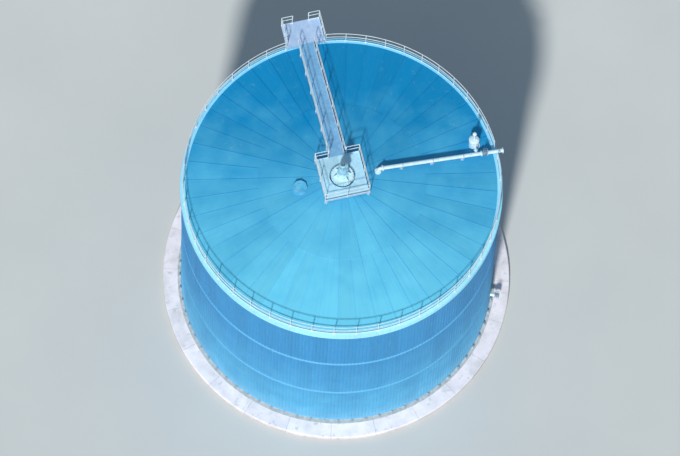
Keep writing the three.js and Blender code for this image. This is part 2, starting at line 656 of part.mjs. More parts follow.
function addGasLine() {
  const turn = Math.PI / 2 + ROOF_SLOPE;
  const bendEndX = GAS_TAKEOFF_X + GAS_BEND_RADIUS * (1 - Math.cos(turn));
  const bendEndZ = roofTop(bendEndX) + GAS_ABOVE_ROOF;
  const bendStartZ = bendEndZ - GAS_BEND_RADIUS * Math.sin(turn);

  class Bend extends THREE.Curve {
    getPoint(t, target = new THREE.Vector3()) {
      const angle = turn * t;
      return target.set(
        GAS_TAKEOFF_X + GAS_BEND_RADIUS * (1 - Math.cos(angle)),
        0,
        bendStartZ + GAS_BEND_RADIUS * Math.sin(angle),
      );
    }
  }
  const circle = new THREE.EllipseCurve(0, 0, GAS_PIPE_RADIUS, GAS_PIPE_RADIUS);
  const section = new THREE.Shape(circle.getPoints(16).slice(1));
  const elbow = new THREE.ExtrudeGeometry(section, {
    steps: 7,
    extrudePath: new Bend(),
    bevelEnabled: false,
  });
  const foot = roofTop(GAS_TAKEOFF_X) - GAS_FLANGE_RADIUS;
  const shift = (geometry) => geometry.translate(GAS_TAKEOFF_X, 0, 0);
  const endFlange = alongX(GAS_FLANGE_RADIUS, -FLANGE_THICKNESS, 0).rotateY(ROOF_SLOPE);
  const pad = shift(upright(GAS_PAD_RADIUS, foot, roofTop(GAS_TAKEOFF_X) + ROOF_PAD_HEIGHT));
  add('gas_takeoff', cut(fuse([
    pad,
    shift(upright(GAS_PIPE_RADIUS, foot, bendStartZ)),
    shift(upright(GAS_FLANGE_RADIUS, bendStartZ - 2 * FLANGE_THICKNESS, bendStartZ)),
    elbow,
    endFlange.translate(bendEndX, 0, bendEndZ),
  ]), [ROOF_SPACE]), PIPE_JACKET);

  const line = new THREE.Group();
  line.position.set(bendEndX, 0, bendEndZ);
  line.rotation.y = ROOF_SLOPE;
  digester.add(line);
  const spool = (from, to) => fuse([
    alongX(GAS_FLANGE_RADIUS, from, from + FLANGE_THICKNESS),
    alongX(GAS_PIPE_RADIUS, from, to),
    alongX(GAS_FLANGE_RADIUS, to - FLANGE_THICKNESS, to),
  ]);
  const standDrop = GAS_ABOVE_ROOF + LEG_SIZE;
  const stands = PIPE_STAND_STATIONS.map((x) => post(x, 0, LEG_SIZE, -standDrop, 0));
  const saddleRadius = GAS_PIPE_RADIUS + SADDLE.thickness;
  const saddles = PIPE_STAND_STATIONS.map((x) => (
    alongX(saddleRadius, x - SADDLE.halfLength, x + SADDLE.halfLength)
  ));
  const roofFromLine = ROOF_SPACE.clone().translate(-bendEndX, 0, -bendEndZ).rotateY(-ROOF_SLOPE);
  const run = fuse([spool(SEAT_GAP, GAS_RUN - SEAT_GAP), ...stands, ...saddles]);
  add('gas_pipe', cut(run, [roofFromLine]), PIPE_JACKET, line);
  const valve = gateValve(GAS_VALVE_LENGTH, GAS_PIPE_RADIUS, GAS_FLANGE_RADIUS);
  add('gas_valve', valve, VALVE_PAINT, line).position.x = GAS_RUN;
  const outletStart = GAS_RUN + GAS_VALVE_LENGTH + SEAT_GAP;
  const outletEnd = GAS_RUN + GAS_VALVE_LENGTH + GAS_OUTLET_LENGTH;
  const bore = VALVE_SHARES.bore * GAS_PIPE_RADIUS;
  const mouth = alongX(bore, outletEnd - GAS_PIPE_RADIUS, outletEnd + GAS_PIPE_RADIUS);
  add('gas_outlet', cut(spool(outletStart, outletEnd), [mouth]), PIPE_JACKET, line);
}

// Relief pot beside the gas pipe: a water-sealed pot with its branch and vent

function addReliefPot() {
  const { x, y, radius, height, headRadius, headHeight } = RELIEF_POT;
  const foot = roofTop(Math.hypot(x, y));
  const top = foot + height;
  const mouth = top + RELIEF_VENT.height;
  const pot = turned([
    [0, foot - radius],
    [radius, foot - radius],
    [radius, top - headHeight],
    [headRadius, top],
    [0, top],
  ], 24);
  const vent = upright(RELIEF_VENT.radius, top - RELIEF_VENT.sunk, mouth, 8);
  const hoodHeights = [mouth - VENT_HOOD.belowMouth, mouth + VENT_HOOD.aboveMouth];
  const hood = upright(VENT_HOOD.radius, ...hoodHeights, 12, RELIEF_VENT.radius);
  const standing = [pot, vent, hood].map((shape) => shape.translate(x, y, 0));
  const pipeHeight = roofTop(x) + GAS_ABOVE_ROOF;
  const arm = new THREE.CylinderGeometry(RELIEF_BRANCH_RADIUS, RELIEF_BRANCH_RADIUS, y, 10);
  arm.translate(x, y / 2, pipeHeight);
  const pipeSpace = alongX(GAS_PIPE_RADIUS + SEAT_GAP, -height, height);
  pipeSpace.rotateY(ROOF_SLOPE).translate(x, 0, pipeHeight);
  add('relief_pot', cut(fuse([...standing, arm]), [pipeSpace, ROOF_SPACE]), PIPE_JACKET);
}

// Hatch on the roof

function addHatch() {
  const foot = roofTop(Math.abs(HATCH.x));
  const top = foot + HATCH.height;
  const { half, low, high } = HATCH_HINGE;
  const hinge = block([-half, half], [-half, half], [top + low, top + high]);
  const hatch = fuse([
    upright(HATCH.radius, foot - HATCH.radius, top, 20),
    upright(HATCH.lidRadius, top - 2 * FLANGE_THICKNESS, top, 20),
    upright(HATCH.padRadius, foot - HATCH.radius, foot + ROOF_PAD_HEIGHT, 20),
    hinge.translate(-HATCH.lidRadius, 0, 0),
  ]).translate(HATCH.x, 0, 0);
  add('roof_hatch', cut(hatch, [ROOF_SPACE]), ROOF_SHEET);
}

// Manhole, feed nozzle and drain nozzle low on the wall

function onWall(geometry, { angle, height }) {
  return geometry.translate(0, 0, height).rotateZ(THREE.MathUtils.degToRad(angle));
}

function addWallFittings() {
  const face = TANK_RADIUS + MANHOLE.reach;
  const collarFace = TANK_RADIUS + WALL_COLLAR_THICKNESS;
  const manhole = fuse([
    alongX(MANHOLE.radius, INNER_RADIUS, face, 20),
    alongX(MANHOLE_FLANGE_RADIUS, face - 2 * FLANGE_THICKNESS, face, 20),
    alongX(MANHOLE_COLLAR_RADIUS, INNER_RADIUS, collarFace, 20),
  ]);
  add('manhole', cut(onWall(manhole, MANHOLE), [WALL_SPACE]), CLADDING);

  const nozzleEnd = TANK_RADIUS + NOZZLE_REACH;
  for (const [name, place] of [['feed', FEED], ['drain', DRAIN]]) {
    const nozzle = fuse([
      alongX(NOZZLE_RADIUS, INNER_RADIUS, nozzleEnd),
      alongX(NOZZLE_FLANGE_RADIUS, nozzleEnd - FLANGE_THICKNESS, nozzleEnd),
      alongX(NOZZLE_COLLAR_RADIUS, INNER_RADIUS, collarFace),
    ]);
    add(`${name}_nozzle`, cut(onWall(nozzle, place), [WALL_SPACE]), PIPE_JACKET);
    const valve = gateValve(NOZZLE_VALVE_LENGTH, NOZZLE_RADIUS, NOZZLE_FLANGE_RADIUS);
    add(`${name}_valve`, onWall(valve.translate(nozzleEnd + SEAT_GAP, 0, 0), place), VALVE_PAINT);
  }
}

addBase();
addWall();
addRoof();
addEdgeRailing();
addLanding();
addWalkway();
addPlatform();
addMixer();
addGasLine();
addReliefPot();
addHatch();
addWallFittings();

export default digester;
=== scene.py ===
"""Biogas digester tank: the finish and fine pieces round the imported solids.

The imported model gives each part's place and size. This script adds profiled cladding, roof sheets,
round railings, fittings with their bolts, the materials, and a plain studio. Everything is in
metres, with +Z up, +Y towards the catwalk landing and +X towards the end of the gas line.
"""
import json
import logging
import math
import random
from dataclasses import dataclass, field
from enum import Enum
from itertools import product
from typing import Sequence

import bpy
from mathutils import Matrix, Quaternion, Vector


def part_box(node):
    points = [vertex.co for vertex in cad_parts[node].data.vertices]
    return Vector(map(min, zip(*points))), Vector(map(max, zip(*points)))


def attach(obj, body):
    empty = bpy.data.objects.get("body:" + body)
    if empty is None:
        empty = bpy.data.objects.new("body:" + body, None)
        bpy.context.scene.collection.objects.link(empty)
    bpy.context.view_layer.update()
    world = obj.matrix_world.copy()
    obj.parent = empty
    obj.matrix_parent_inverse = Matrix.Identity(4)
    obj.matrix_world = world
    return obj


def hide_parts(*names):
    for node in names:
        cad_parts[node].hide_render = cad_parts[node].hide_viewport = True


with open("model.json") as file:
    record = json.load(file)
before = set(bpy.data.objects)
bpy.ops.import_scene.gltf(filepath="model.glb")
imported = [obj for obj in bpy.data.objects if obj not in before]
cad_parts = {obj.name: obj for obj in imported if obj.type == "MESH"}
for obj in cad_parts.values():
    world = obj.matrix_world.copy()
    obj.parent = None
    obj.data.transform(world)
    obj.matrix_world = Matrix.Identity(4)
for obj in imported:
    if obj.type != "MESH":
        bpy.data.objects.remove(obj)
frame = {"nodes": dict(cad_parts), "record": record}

log = logging.getLogger("digester")

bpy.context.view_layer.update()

Point = Sequence[float]
Profile = Sequence[tuple[float, float]]
Socket = bpy.types.NodeSocket
Inputs = Sequence[object] | dict[str | int, object]

MM = 0.001
UP = Vector((0, 0, 1))
EAST = Vector((1, 0, 0))
NORTH = Vector((0, 1, 0))
QUARTER = math.pi / 2
FULL_TURN = 2 * math.pi
HERE = Matrix.Identity(4)
BOTH = (-1, 1)


def low(node: str) -> Vector:
    """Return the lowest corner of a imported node's box."""
    return Vector(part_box(node)[0])


def high(node: str) -> Vector:
    """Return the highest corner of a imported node's box."""
    return Vector(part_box(node)[1])


# Sizes of the tank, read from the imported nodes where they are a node's edge

RADIUS = high("wall_lower_east").x
COURSES = ("lower", "middle", "upper")
LEDGE = high("foundation").z
WALL_TOP = high("wall_upper_east").z
COURSE_HEIGHT = (WALL_TOP - LEDGE) / len(COURSES)
EDGE_RADIUS = high("eave_ring").x
ROOF_SLOPE = math.radians(9)
ROOF_EDGE_TOP = WALL_TOP + 0.09
DECK_ABOVE_ROOF = 0.32
DECK_FRAME = 0.14
RAIL_TOP = 1.10
RAIL_RADIUS = 0.0215
MID_RAIL = 0.5975
POST_RADIUS = 0.0242
EDGE_RAIL_RADIUS = RADIUS - 0.05
EDGE_RAIL_BAYS = 11
GAS_GAP = math.radians(2.4)
FLANGE = 0.032
EASE = 0.003
FACET = math.radians(5)

# The sunny side, towards the key light, as a direction in plan: the sheets are painted paler towards it
LIT_SIDE = Vector((-0.25, -0.97, 0.0))


def roof_at(radius: float) -> float:
    """Return the height of the roof's top surface at a distance from the tank's axis."""
    return ROOF_EDGE_TOP + (EDGE_RADIUS - radius) * math.tan(ROOF_SLOPE)


def deck_at(radius: float) -> float:
    """Return the height of the decks' top surface at a distance from the axis."""
    return roof_at(radius) + DECK_ABOVE_ROOF


def polar(radius: float, angle: float, height: float = 0.0) -> Vector:
    """Return the point at a radius and an angle round the tank's axis, at a height."""
    return Vector((radius * math.cos(angle), radius * math.sin(angle), height))


def aimed(position: Point, axis: Point = UP, toward: Point | None = None) -> Matrix:
    """Return a place whose Z follows an axis.

    Args:
        position: The place's origin.
        axis: The way that its Z points.
        toward: The way that its X leans, or none for any.

    Returns:
        The place as a matrix.
    """
    z = Vector(axis).normalized()
    x = Vector(toward) - z * z.dot(Vector(toward)) if toward is not None else z.orthogonal()
    x.normalize()
    place = Matrix((x, z.cross(x), z)).transposed().to_4x4()
    place.translation = Vector(position)
    return place


def shifted(place: Matrix, x: float = 0.0, y: float = 0.0, z: float = 0.0) -> Matrix:
    """Return a place moved along its own axes."""
    return place @ Matrix.Translation((x, y, z))


def turned(place: Matrix, share: float) -> Matrix:
    """Return a place turned about its own Z by a share of a full turn."""
    return place @ Matrix.Rotation(FULL_TURN * share, 4, "Z")


def along(line: Matrix, x: float, back: bool = False) -> Matrix:
    """Return the place at x on a pipe's line, whose Z runs along the pipe or back along it."""
    return shifted(line, x) @ Matrix.Rotation(-QUARTER if back else QUARTER, 4, "Y")


def on_roof(x: float, y: float) -> Matrix:
    """Return the place on the roof's surface at a point in plan, its X down the slope."""
    level = aimed((x, y, roof_at(math.hypot(x, y))), UP, (x, y, 0))
    return level @ Matrix.Rotation(ROOF_SLOPE, 4, "Y")


def disc(radius: float, start: float, end: float) -> list[tuple[float, float]]:
    """Return the profile of a flange between two heights, its edges eased."""
    return [(radius - EASE, start), (radius, start + EASE), (radius, end - EASE), (radius - EASE, end)]


def band(radius: float, start: float, end: float, rise: float = 0.0035) -> list[tuple[float, float]]:
    """Return the stretch of a pipe's profile where a band lies round it."""
    return [(radius, start), (radius + rise, start + MM), (radius + rise, end - MM), (radius, end)]


def square(inner: float, outer: float, foot: float, top: float) -> list[tuple[float, float]]:
    """Return the square section of a ring between two radii and two heights."""
    return [(inner, foot), (outer, foot), (outer, top), (inner, top)]


def arc(index: int, count: int, gap: float) -> tuple[float, float]:
    """Return the angles of one of equal lengths round the wall, with a gap in metres after it."""
    return (FULL_TURN * index / count, FULL_TURN * (index + 1) / count - gap / RADIUS)


def wound(outline: Profile, clockwise: bool) -> list[tuple[float, float]]:
    """Return an outline that turns one way.

    Args:
        outline: The corners of a closed outline.
        clockwise: Whether it shall turn clockwise.

    Returns:
        The same corners, reversed where they turned the other way.
    """
    pairs = zip(outline, [*outline[1:], outline[0]])
    area = sum(x0 * y1 - x1 * y0 for (x0, y0), (x1, y1) in pairs)
    return list(reversed(outline)) if (area > 0) == clockwise else list(outline)


def rounded(corners: Sequence[Point], radius: float, closed: bool = False) -> list[Vector]:
    """Return a path with its corners rounded.

    Args:
        corners: The path's corners. Those that hardly turn are kept as they are.
        radius: The bend's radius at a square corner.
        closed: Whether the path returns to its first corner.

    Returns:
        The points of the rounded path.
    """
    points = [Vector(corner) for corner in corners]
    path: list[Vector] = []
    for index, corner in enumerate(points):
        back = points[index - 1] - corner
        ahead = points[(index + 1) % len(points)] - corner
        at_end = not closed and index in (0, len(points) - 1)
        if at_end or back.normalized().dot(ahead.normalized()) < -0.97:
            path.append(corner)
            continue
        reach = min(radius, 0.45 * back.length, 0.45 * ahead.length)
        start = corner + back.normalized() * reach
        end = corner + ahead.normalized() * reach
        for step in range(6):
            t = step / 5
            path.append(start * (1 - t) ** 2 + corner * 2 * t * (1 - t) + end * t ** 2)
    return path


@dataclass
class Form:
    """A mesh in the making, put together from closed solids."""

    points: list[Vector] = field(default_factory=list)
    faces: list[tuple[int, ...]] = field(default_factory=list)
    tones: list[float] = field(default_factory=list)
    tone: float = 0.0

    def loft(self, rings: Sequence[Sequence[Vector]], closed: bool = False,
             tones: Sequence[float] | None = None) -> None:
        """Add the solid that joins rings of equal count, each counterclockwise about the way ahead.

        Args:
            rings: The sections in order.
            closed: Whether the last section joins the first. Otherwise both ends are capped.
            tones: The tone of the stretch after each section, or none for the form's own.
        """
        start = len(self.points)
        count = len(rings[0])
        for ring in rings:
            self.points.extend(ring)
        for stretch in range(len(rings) if closed else len(rings) - 1):
            near = start + stretch * count
            far = start + (stretch + 1) % len(rings) * count
            for side in range(count):
                after = (side + 1) % count
                self.faces.append((near + side, near + after, far + after, far + side))
            self.tones.extend([tones[stretch] if tones else self.tone] * count)
        if not closed:
            last = start + (len(rings) - 1) * count
            self.faces.append(tuple(reversed(range(start, start + count))))
            self.faces.append(tuple(range(last, last + count)))
            self.tones.extend([self.tone] * 2)

    def box(self, place: Matrix, size: Point) -> None:
        """Add a block.

        Args:
            place: The place of its middle.
            size: Its size along the place's X, Y and Z.
        """
        x, y, z = (side / 2 for side in size)
        self.loft([[place @ Vector((a, b, level)) for a, b in ((-x, -y), (x, -y), (x, y), (-x, y))]
                   for level in (-z, z)])

    def bar(self, start: Point, end: Point, width: float, depth: float, up: Point = UP) -> None:
        """Add a straight bar of rectangular section.

        Args:
            start: The middle of one end.
            end: The middle of the other end.
            width: Its size across the way that it faces.
            depth: Its size in the way that it faces.
            up: The way that it faces.
        """
        start, end = Vector(start), Vector(end)
        ahead = (end - start).normalized()
        side = Vector(up).cross(ahead).normalized() * width / 2
        top = ahead.cross(side).normalized() * depth / 2
        corners = (-side - top, side - top, side + top, -side + top)
        self.loft([[point + corner for corner in corners] for point in (start, end)])

    def tube(self, path: Sequence[Point], radius: float, sides: int, closed: bool = False) -> None:
        """Add a round bar along a path.

        Args:
            path: The points of its centre line.
            radius: The bar's radius.
            sides: The number of flats round it.
            closed: Whether the path returns to its first point.
        """
        points = [Vector(point) for point in path]
        count = len(points)
        tangents = []
        for index, point in enumerate(points):
            before = points[index - 1] if index or closed else point
            after = points[(index + 1) % count] if index < count - 1 or closed else point
            tangents.append((after - before).normalized())
        side = tangents[0].orthogonal().normalized()
        first = side.copy()
        sidewise = []
        for tangent in tangents:
            side = (side - tangent * side.dot(tangent)).normalized()
            sidewise.append(side)
        twist = 0.0
        if closed:
            # The last section is turned to meet the first, in equal steps along the path
            tangent = tangents[0]
            back = (side - tangent * side.dot(tangent)).normalized()
            twist = math.atan2(back.cross(first).dot(tangent), back.dot(first))
        rings = []
        for index, (point, tangent, side) in enumerate(zip(points, tangents, sidewise)):
            top = tangent.cross(side)
            angles = [FULL_TURN * step / sides + twist * index / count for step in range(sides)]
            rings.append([point + (side * math.cos(a) + top * math.sin(a)) * radius for a in angles])
        self.loft(rings, closed)

    def column(self, place: Matrix, profile: Profile, sides: int) -> None:
        """Add a solid turned about a place's Z.

        Args:
            place: The place of the solid's foot.
            profile: Its (radius, height) points from the foot up.
            sides: The number of flats round it.
        """
        turns = [polar(1, FULL_TURN * step / sides) for step in range(sides)]
        self.loft([[place @ Vector((radius * turn.x, radius * turn.y, height)) for turn in turns]
                   for radius, height in profile])

    def ring(self, place: Matrix, outline: Profile, sides: int = 144,
             span: tuple[float, float] | None = None) -> None:
        """Add a hollow solid turned about a place's Z.

        Args:
            place: The place of the ring's centre.
            outline: The closed section as (radius, height) points.
            sides: The number of steps round it.
            span: The angles where it starts and ends, or none for a whole ring.
        """
        section = wound(outline, clockwise=True)
        start, end = span or (0.0, FULL_TURN)
        angles = [start + (end - start) * step / sides for step in range(sides + 1 if span else sides)]
        self.loft([[place @ polar(radius, angle, height) for radius, height in section]
                   for angle in angles], closed=span is None)

    def hoop(self, place: Matrix, radius: float, thickness: float, sides: int, flats: int = 8) -> None:
        """Add a round bar bent to a ring about a place's Z."""
        turns = [polar(thickness, FULL_TURN * step / flats) for step in range(flats)]
        self.ring(place, [(radius + turn.x, turn.y) for turn in turns], sides)

    def plate(self, place: Matrix, outline: Profile, thickness: float) -> None:
        """Add a flat plate on a place's XY plane, rising by its thickness."""
        edge = wound(outline, clockwise=False)
        self.loft([[place @ Vector((x, y, level)) for x, y in edge] for level in (0.0, thickness)])

    def gusset(self, angle: float, offset: float, outline: Profile, thickness: float) -> None:
        """Add an upright plate that runs outwards from the tank's axis.

        Args:
            angle: The way that it runs, round the axis.
            offset: How far its right face lies to the left of that way.
            outline: Its (radius, height) corners.
            thickness: Its thickness.
        """
        out = polar(1, angle)
        side = UP.cross(out)
        # In this place X is outwards and Y is down
        corners = [(radius, -height) for radius, height in outline]
        self.plate(aimed(side * offset, side, out), corners, thickness)

    def bolt(self, place: Matrix, size: float) -> None:
        """Add a washer and a hexagon head that stand on a place.

        Args:
            place: The place on the bolted face, its Z outwards.
            size: The thread's diameter.
        """
        washer = 0.2 * size
        head = 0.85 * size
        self.column(place, [(1.1 * size, -washer), (1.1 * size, washer)], 10)
        self.column(place, [(0.92 * size, washer), (0.92 * size, head - washer / 2), (0.8 * size, head)], 6)

    def bolt_circle(self, place: Matrix, radius: float, count: int, size: float) -> None:
        """Add bolts spread evenly round a place's Z."""
        for index in range(count):
            self.bolt(shifted(turned(place, (index + 0.5) / count), radius), size)

    def bolt_grid(self, place: Matrix, across: Sequence[float], up: Sequence[float], size: float) -> None:
        """Add bolts on a place's XY plane, at each pair of two rows of offsets."""
        for x, y in product(across, up):
            self.bolt(shifted(place, x, y), size)

    def strip(self, route: Sequence[Vector], sideways: tuple[float, float],
              heights: tuple[float, float]) -> None:
        """Add a flat bar on edge along a route, at an offset to its left.

        Args:
            route: The points of the route at deck height.
            sideways: The offsets of its two faces to the left, the smaller first.
            heights: The heights of its two edges over the route.
        """
        flat = [Vector((point.x, point.y, 0)) for point in route]
        rings = []
        for index, point in enumerate(route):
            lefts = []
            for start, end in ((index - 1, index), (index, index + 1)):
                if start >= 0 and end < len(flat):
                    lefts.append(UP.cross((flat[end] - flat[start]).normalized()))
            left = sum(lefts, Vector()).normalized()
            left = left / left.dot(lefts[0])
            rings.append([point + left * offset + UP * height
                          for offset, height in square(*sideways, *heights)])
        self.loft(rings)

    def piece(self, name: str, slot: str, material: bpy.types.Material,
              stands_for: Sequence[str] = (), crease: float = 35.0) -> None:
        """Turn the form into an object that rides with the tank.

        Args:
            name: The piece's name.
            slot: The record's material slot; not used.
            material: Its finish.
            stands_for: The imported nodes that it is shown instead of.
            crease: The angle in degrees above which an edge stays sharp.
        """
        mesh = bpy.data.meshes.new(name)
        mesh.from_pydata(self.points, [], self.faces)
        mesh.attributes.new("tone", "FLOAT", "FACE").data.foreach_set("value", self.tones)
        mesh.shade_smooth()
        mesh.set_sharp_from_angle(angle=math.radians(crease))
        mesh.materials.append(material)
        made = bpy.data.objects.new(name, mesh)
        bpy.context.scene.collection.objects.link(made)
        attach(made, "root")
        if stands_for:
            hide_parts(*stands_for)
        log.info("%s: %d faces", name, len(self.faces))


# Colours and node graphs

def linear(code: str) -> tuple[float, float, float, float]:
    """Turn an sRGB hex colour into linear light.

    Args:
        code: Six hex digits.

    Returns:
        Red, green, blue and an alpha of one.
    """
    parts = [int(code[i:i + 2], 16) / 255 for i in (0, 2, 4)]
    light = [c / 12.92 if c <= 0.04045 else ((c + 0.055) / 1.055) ** 2.4 for c in parts]
    return (*light, 1.0)


@dataclass(frozen=True)
class Patches:
    """Noise whose patches have about a given size on the real surface, to feed a node's input."""

    size_mm: float
    detail: float


class Run(Enum):
    """The way that rain runs over a surface, which its streaks follow."""

    DOWN_WALL = "down_wall"
    DOWN_ROOF = "down_roof"


class Finish:
    """A material in the making: its node tree, its shader and the shared coordinates."""

    def __init__(self, name: str, roughness: float, metallic: float = 0.0) -> None:
        """Start a material with one Principled shader.

        Args:
            name: The material's name.
            roughness: The roughness of the clean surface.
            metallic: Zero for paint and mineral, up to one for bare metal.
        """
        self.material = bpy.data.materials.new(name)
        self.material.use_nodes = True
        self.tree = self.material.node_tree
        self.shader = self.tree.nodes["Principled BSDF"]
        self.shader.inputs["Roughness"].default_value = roughness
        self.shader.inputs["Metallic"].default_value = metallic
        self.place = self.add("TexCoord", out="Object")

    def add(self, kind: str, inputs: Inputs = (), out: int | str = 0, **settings: object) -> Socket:
        """Add one node with its settings and links.

        Args:
            kind: The node's type name, without the start that all have.
            inputs: The values, patches or sockets that feed its inputs, in order or by name or number.
            out: The name or number of the output to return.
            settings: The node's attributes; "stops" gives a ramp's places and greys or colours.

        Returns:
            The node's output.
        """
        node = self.tree.nodes.new("ShaderNode" + kind)
        for index, (place, shade) in enumerate(settings.pop("stops", ())):
            stop = node.color_ramp.elements[index] if index < 2 else node.color_ramp.elements.new(place)
            stop.position = place
            stop.color = shade if isinstance(shade, tuple) else (shade, shade, shade, 1.0)
        for key, value in settings.items():
            setattr(node, key, value)
        for key, value in inputs.items() if isinstance(inputs, dict) else enumerate(inputs):
            if isinstance(value, Patches):
                scale = 1 / (value.size_mm * MM)
                value = self.add("TexNoise", {"Vector": self.place, "Scale": scale, "Detail": value.detail})
            if isinstance(value, Socket):
                self.tree.links.new(value, node.inputs[key])
            else:
                node.inputs[key].default_value = value
        return node.outputs[out]

    def coat(self, colour: object, grey: object, start: float, full: float, share: float,
             code: str) -> Socket:
        """Return a colour under a coat that sets in at one grey and has its full share at another."""
        cover = self.add("ValToRGB", (grey,), stops=[(start, 0.0), (full, share)])
        return self.add("Mix", {0: cover, 6: colour, 7: linear(code)}, 2, data_type="RGBA")

    def streaks(self, run: Run, width_mm: float, length_mm: float) -> Socket:
        """Return noise drawn out along the way that rain runs.

        Args:
            run: Down the wall, or from the roof's middle to its edge.
            width_mm: How wide a streak is, at the tank's wall.
            length_mm: How long a streak is.

        Returns:
            The noise's grey output.
        """
        stretch = width_mm / length_mm
        if run is Run.DOWN_ROOF:
            flat = self.add("VectorMath", (self.place, (1, 1, 0)), operation="MULTIPLY")
            radius = self.add("VectorMath", (flat,), "Value", operation="LENGTH")
            around = self.add("VectorMath", (flat,), operation="NORMALIZE")
            wide = self.add("VectorMath", {0: around, "Scale": RADIUS}, operation="SCALE")
            drawn = self.add("Math", (radius, stretch), operation="MULTIPLY")
            place = self.add("VectorMath", (wide, self.add("CombineXYZ", {"Z": drawn})), operation="ADD")
        else:
            place = self.add("VectorMath", (self.place, (1, 1, stretch)), operation="MULTIPLY")
        return self.add("TexNoise", {"Vector": place, "Scale": 1 / (width_mm * MM), "Detail": 3.0})

    def lit_side_share(self) -> Socket:
        """Return zero on the tank's shaded side, rising to one on its sunny side, where the sheets are
        painted paler.
        """
        across = self.add("VectorMath", (self.place, LIT_SIDE / RADIUS), "Value", operation="DOT_PRODUCT")
        return self.add("MapRange", (across, -1, 1, 0, 1))

    def colour(self, colour: object, tone_share: float) -> None:
        """Link the surface's colour, with each sheet's or casting's own tone in it.

        Args:
            colour: The colour that varies over the surface.
            tone_share: How far a piece's tone may lighten or darken it.
        """
        tone = self.add("Attribute", out="Fac", attribute_name="tone")
        factor = self.add("Math", (tone, tone_share, 1.0), operation="MULTIPLY_ADD")
        shade = self.add("VectorMath", {0: colour, "Scale": factor}, operation="SCALE")
        self.tree.links.new(shade, self.shader.inputs["Base Color"])

    def roughen(self, grey: object, lowest: float, highest: float) -> None:
        """Let the roughness follow a grey value between two limits."""
        rough = self.add("MapRange", (grey, 0.3, 0.7, lowest, highest))
        self.tree.links.new(rough, self.shader.inputs["Roughness"])

    def bump(self, grey: object, depth_mm: float, under: object = None) -> Socket:
        """Raise the surface by a grey value.

        Args:
            grey: The height, from zero to one.
            depth_mm: The height of the pattern on the real surface.
            under: The normal of a coarser pattern below this one.

        Returns:
            The bumped normal, which the shader already uses.
        """
        inputs = {"Height": grey, "Distance": depth_mm * MM}
        if under is not None:
            inputs["Normal"] = under
        normal = self.add("Bump", inputs)
        self.tree.links.new(normal, self.shader.inputs["Normal"])
        return normal


@dataclass(frozen=True)
class CoilCoatedSheet:
    """Steel sheet with a polyester coil coating, roll-formed: satin, chalky on the sunny side, and painted
    paler there for sheen.
    """

    name: str
    fresh_shaded: str
    chalked_sunlit: str
    run: Run
    streak_share: float = 0.2
    pale_foot: float = 0.0
    dusty_foot: float = 1.6
    pale: str = "6accf2"
    specks: float = 0.4
    grime: str = "2f6f96"
    dust: str = "b9bdb4"

    def make(self) -> bpy.types.Material:
        """Build the material: chalking and painted sheen on the sunny side, painted shade on the shaded side,
        rain streaks, grime and sheet tones.

        Returns:
            The material.
        """
        finish = Finish(self.name, roughness=0.54)
        # A chalked coating mirrors less than a fresh one
        finish.shader.inputs["Specular IOR Level"].default_value = 0.3
        # Patches a metre or two wide, where the coating has chalked more or less
        clouds = finish.add("Math", (Patches(1700, 3.0), 0.7, -0.62), operation="MULTIPLY_ADD")
        # Painted light: paler towards the sunny side for chalking and sheen, deeper on the shaded side for
        # shade
        chalk_and_sheen = finish.add("Math", (finish.lit_side_share(), 1.4, clouds), operation="MULTIPLY_ADD")
        share = finish.add("MapRange", (chalk_and_sheen, 0, 1, 0, 1))
        colour = finish.add("Mix", {0: share, 6: linear(self.fresh_shaded), 7: linear(self.chalked_sunlit)}, 2,
                            data_type="RGBA")
        # Rain drags a little dirt along the run of the sheet, in streaks a hand wide
        wide = finish.streaks(self.run, 210, 3200)
        colour = finish.coat(colour, wide, 0.50, 0.78, self.streak_share, self.grime)
        fine = finish.streaks(self.run, 45, 900)
        colour = finish.coat(colour, fine, 0.58, 0.80, self.streak_share, self.dust)
        if self.pale_foot:
            # The wall is paler towards its foot, and splashed dust lies on the lowest part
            for reach, share, patch_mm, shade in ((self.pale_foot, 1.0, 1300, self.pale),
                                                  (self.dusty_foot, 0.7, 420, self.dust)):
                height = finish.add("SeparateXYZ", (finish.place,), "Z")
                foot = finish.add("MapRange", (height, LEDGE, LEDGE + reach, share, 0.0))
                patchy = finish.add("Math", (foot, Patches(patch_mm, 5.0)), operation="MULTIPLY")
                colour = finish.add("Mix", {0: patchy, 6: colour, 7: linear(shade)}, 2, data_type="RGBA")
        # Dried drops and droppings leave pale specks a few centimetres wide
        specks = finish.add("Math", (Patches(38, 2.0), Patches(520, 2.0)), operation="MULTIPLY")
        finish.colour(finish.coat(colour, specks, 0.40, 0.47, self.specks, self.dust), 0.05)
        finish.roughen(Patches(260, 5.0), 0.49, 0.60)
        # Thin sheet lies a little wavy between its fixings, and the coating has a fine orange peel
        waves = finish.bump(Patches(620, 1.0), 1.5)
        finish.bump(Patches(5, 1.0), 0.05, waves)
        return finish.material


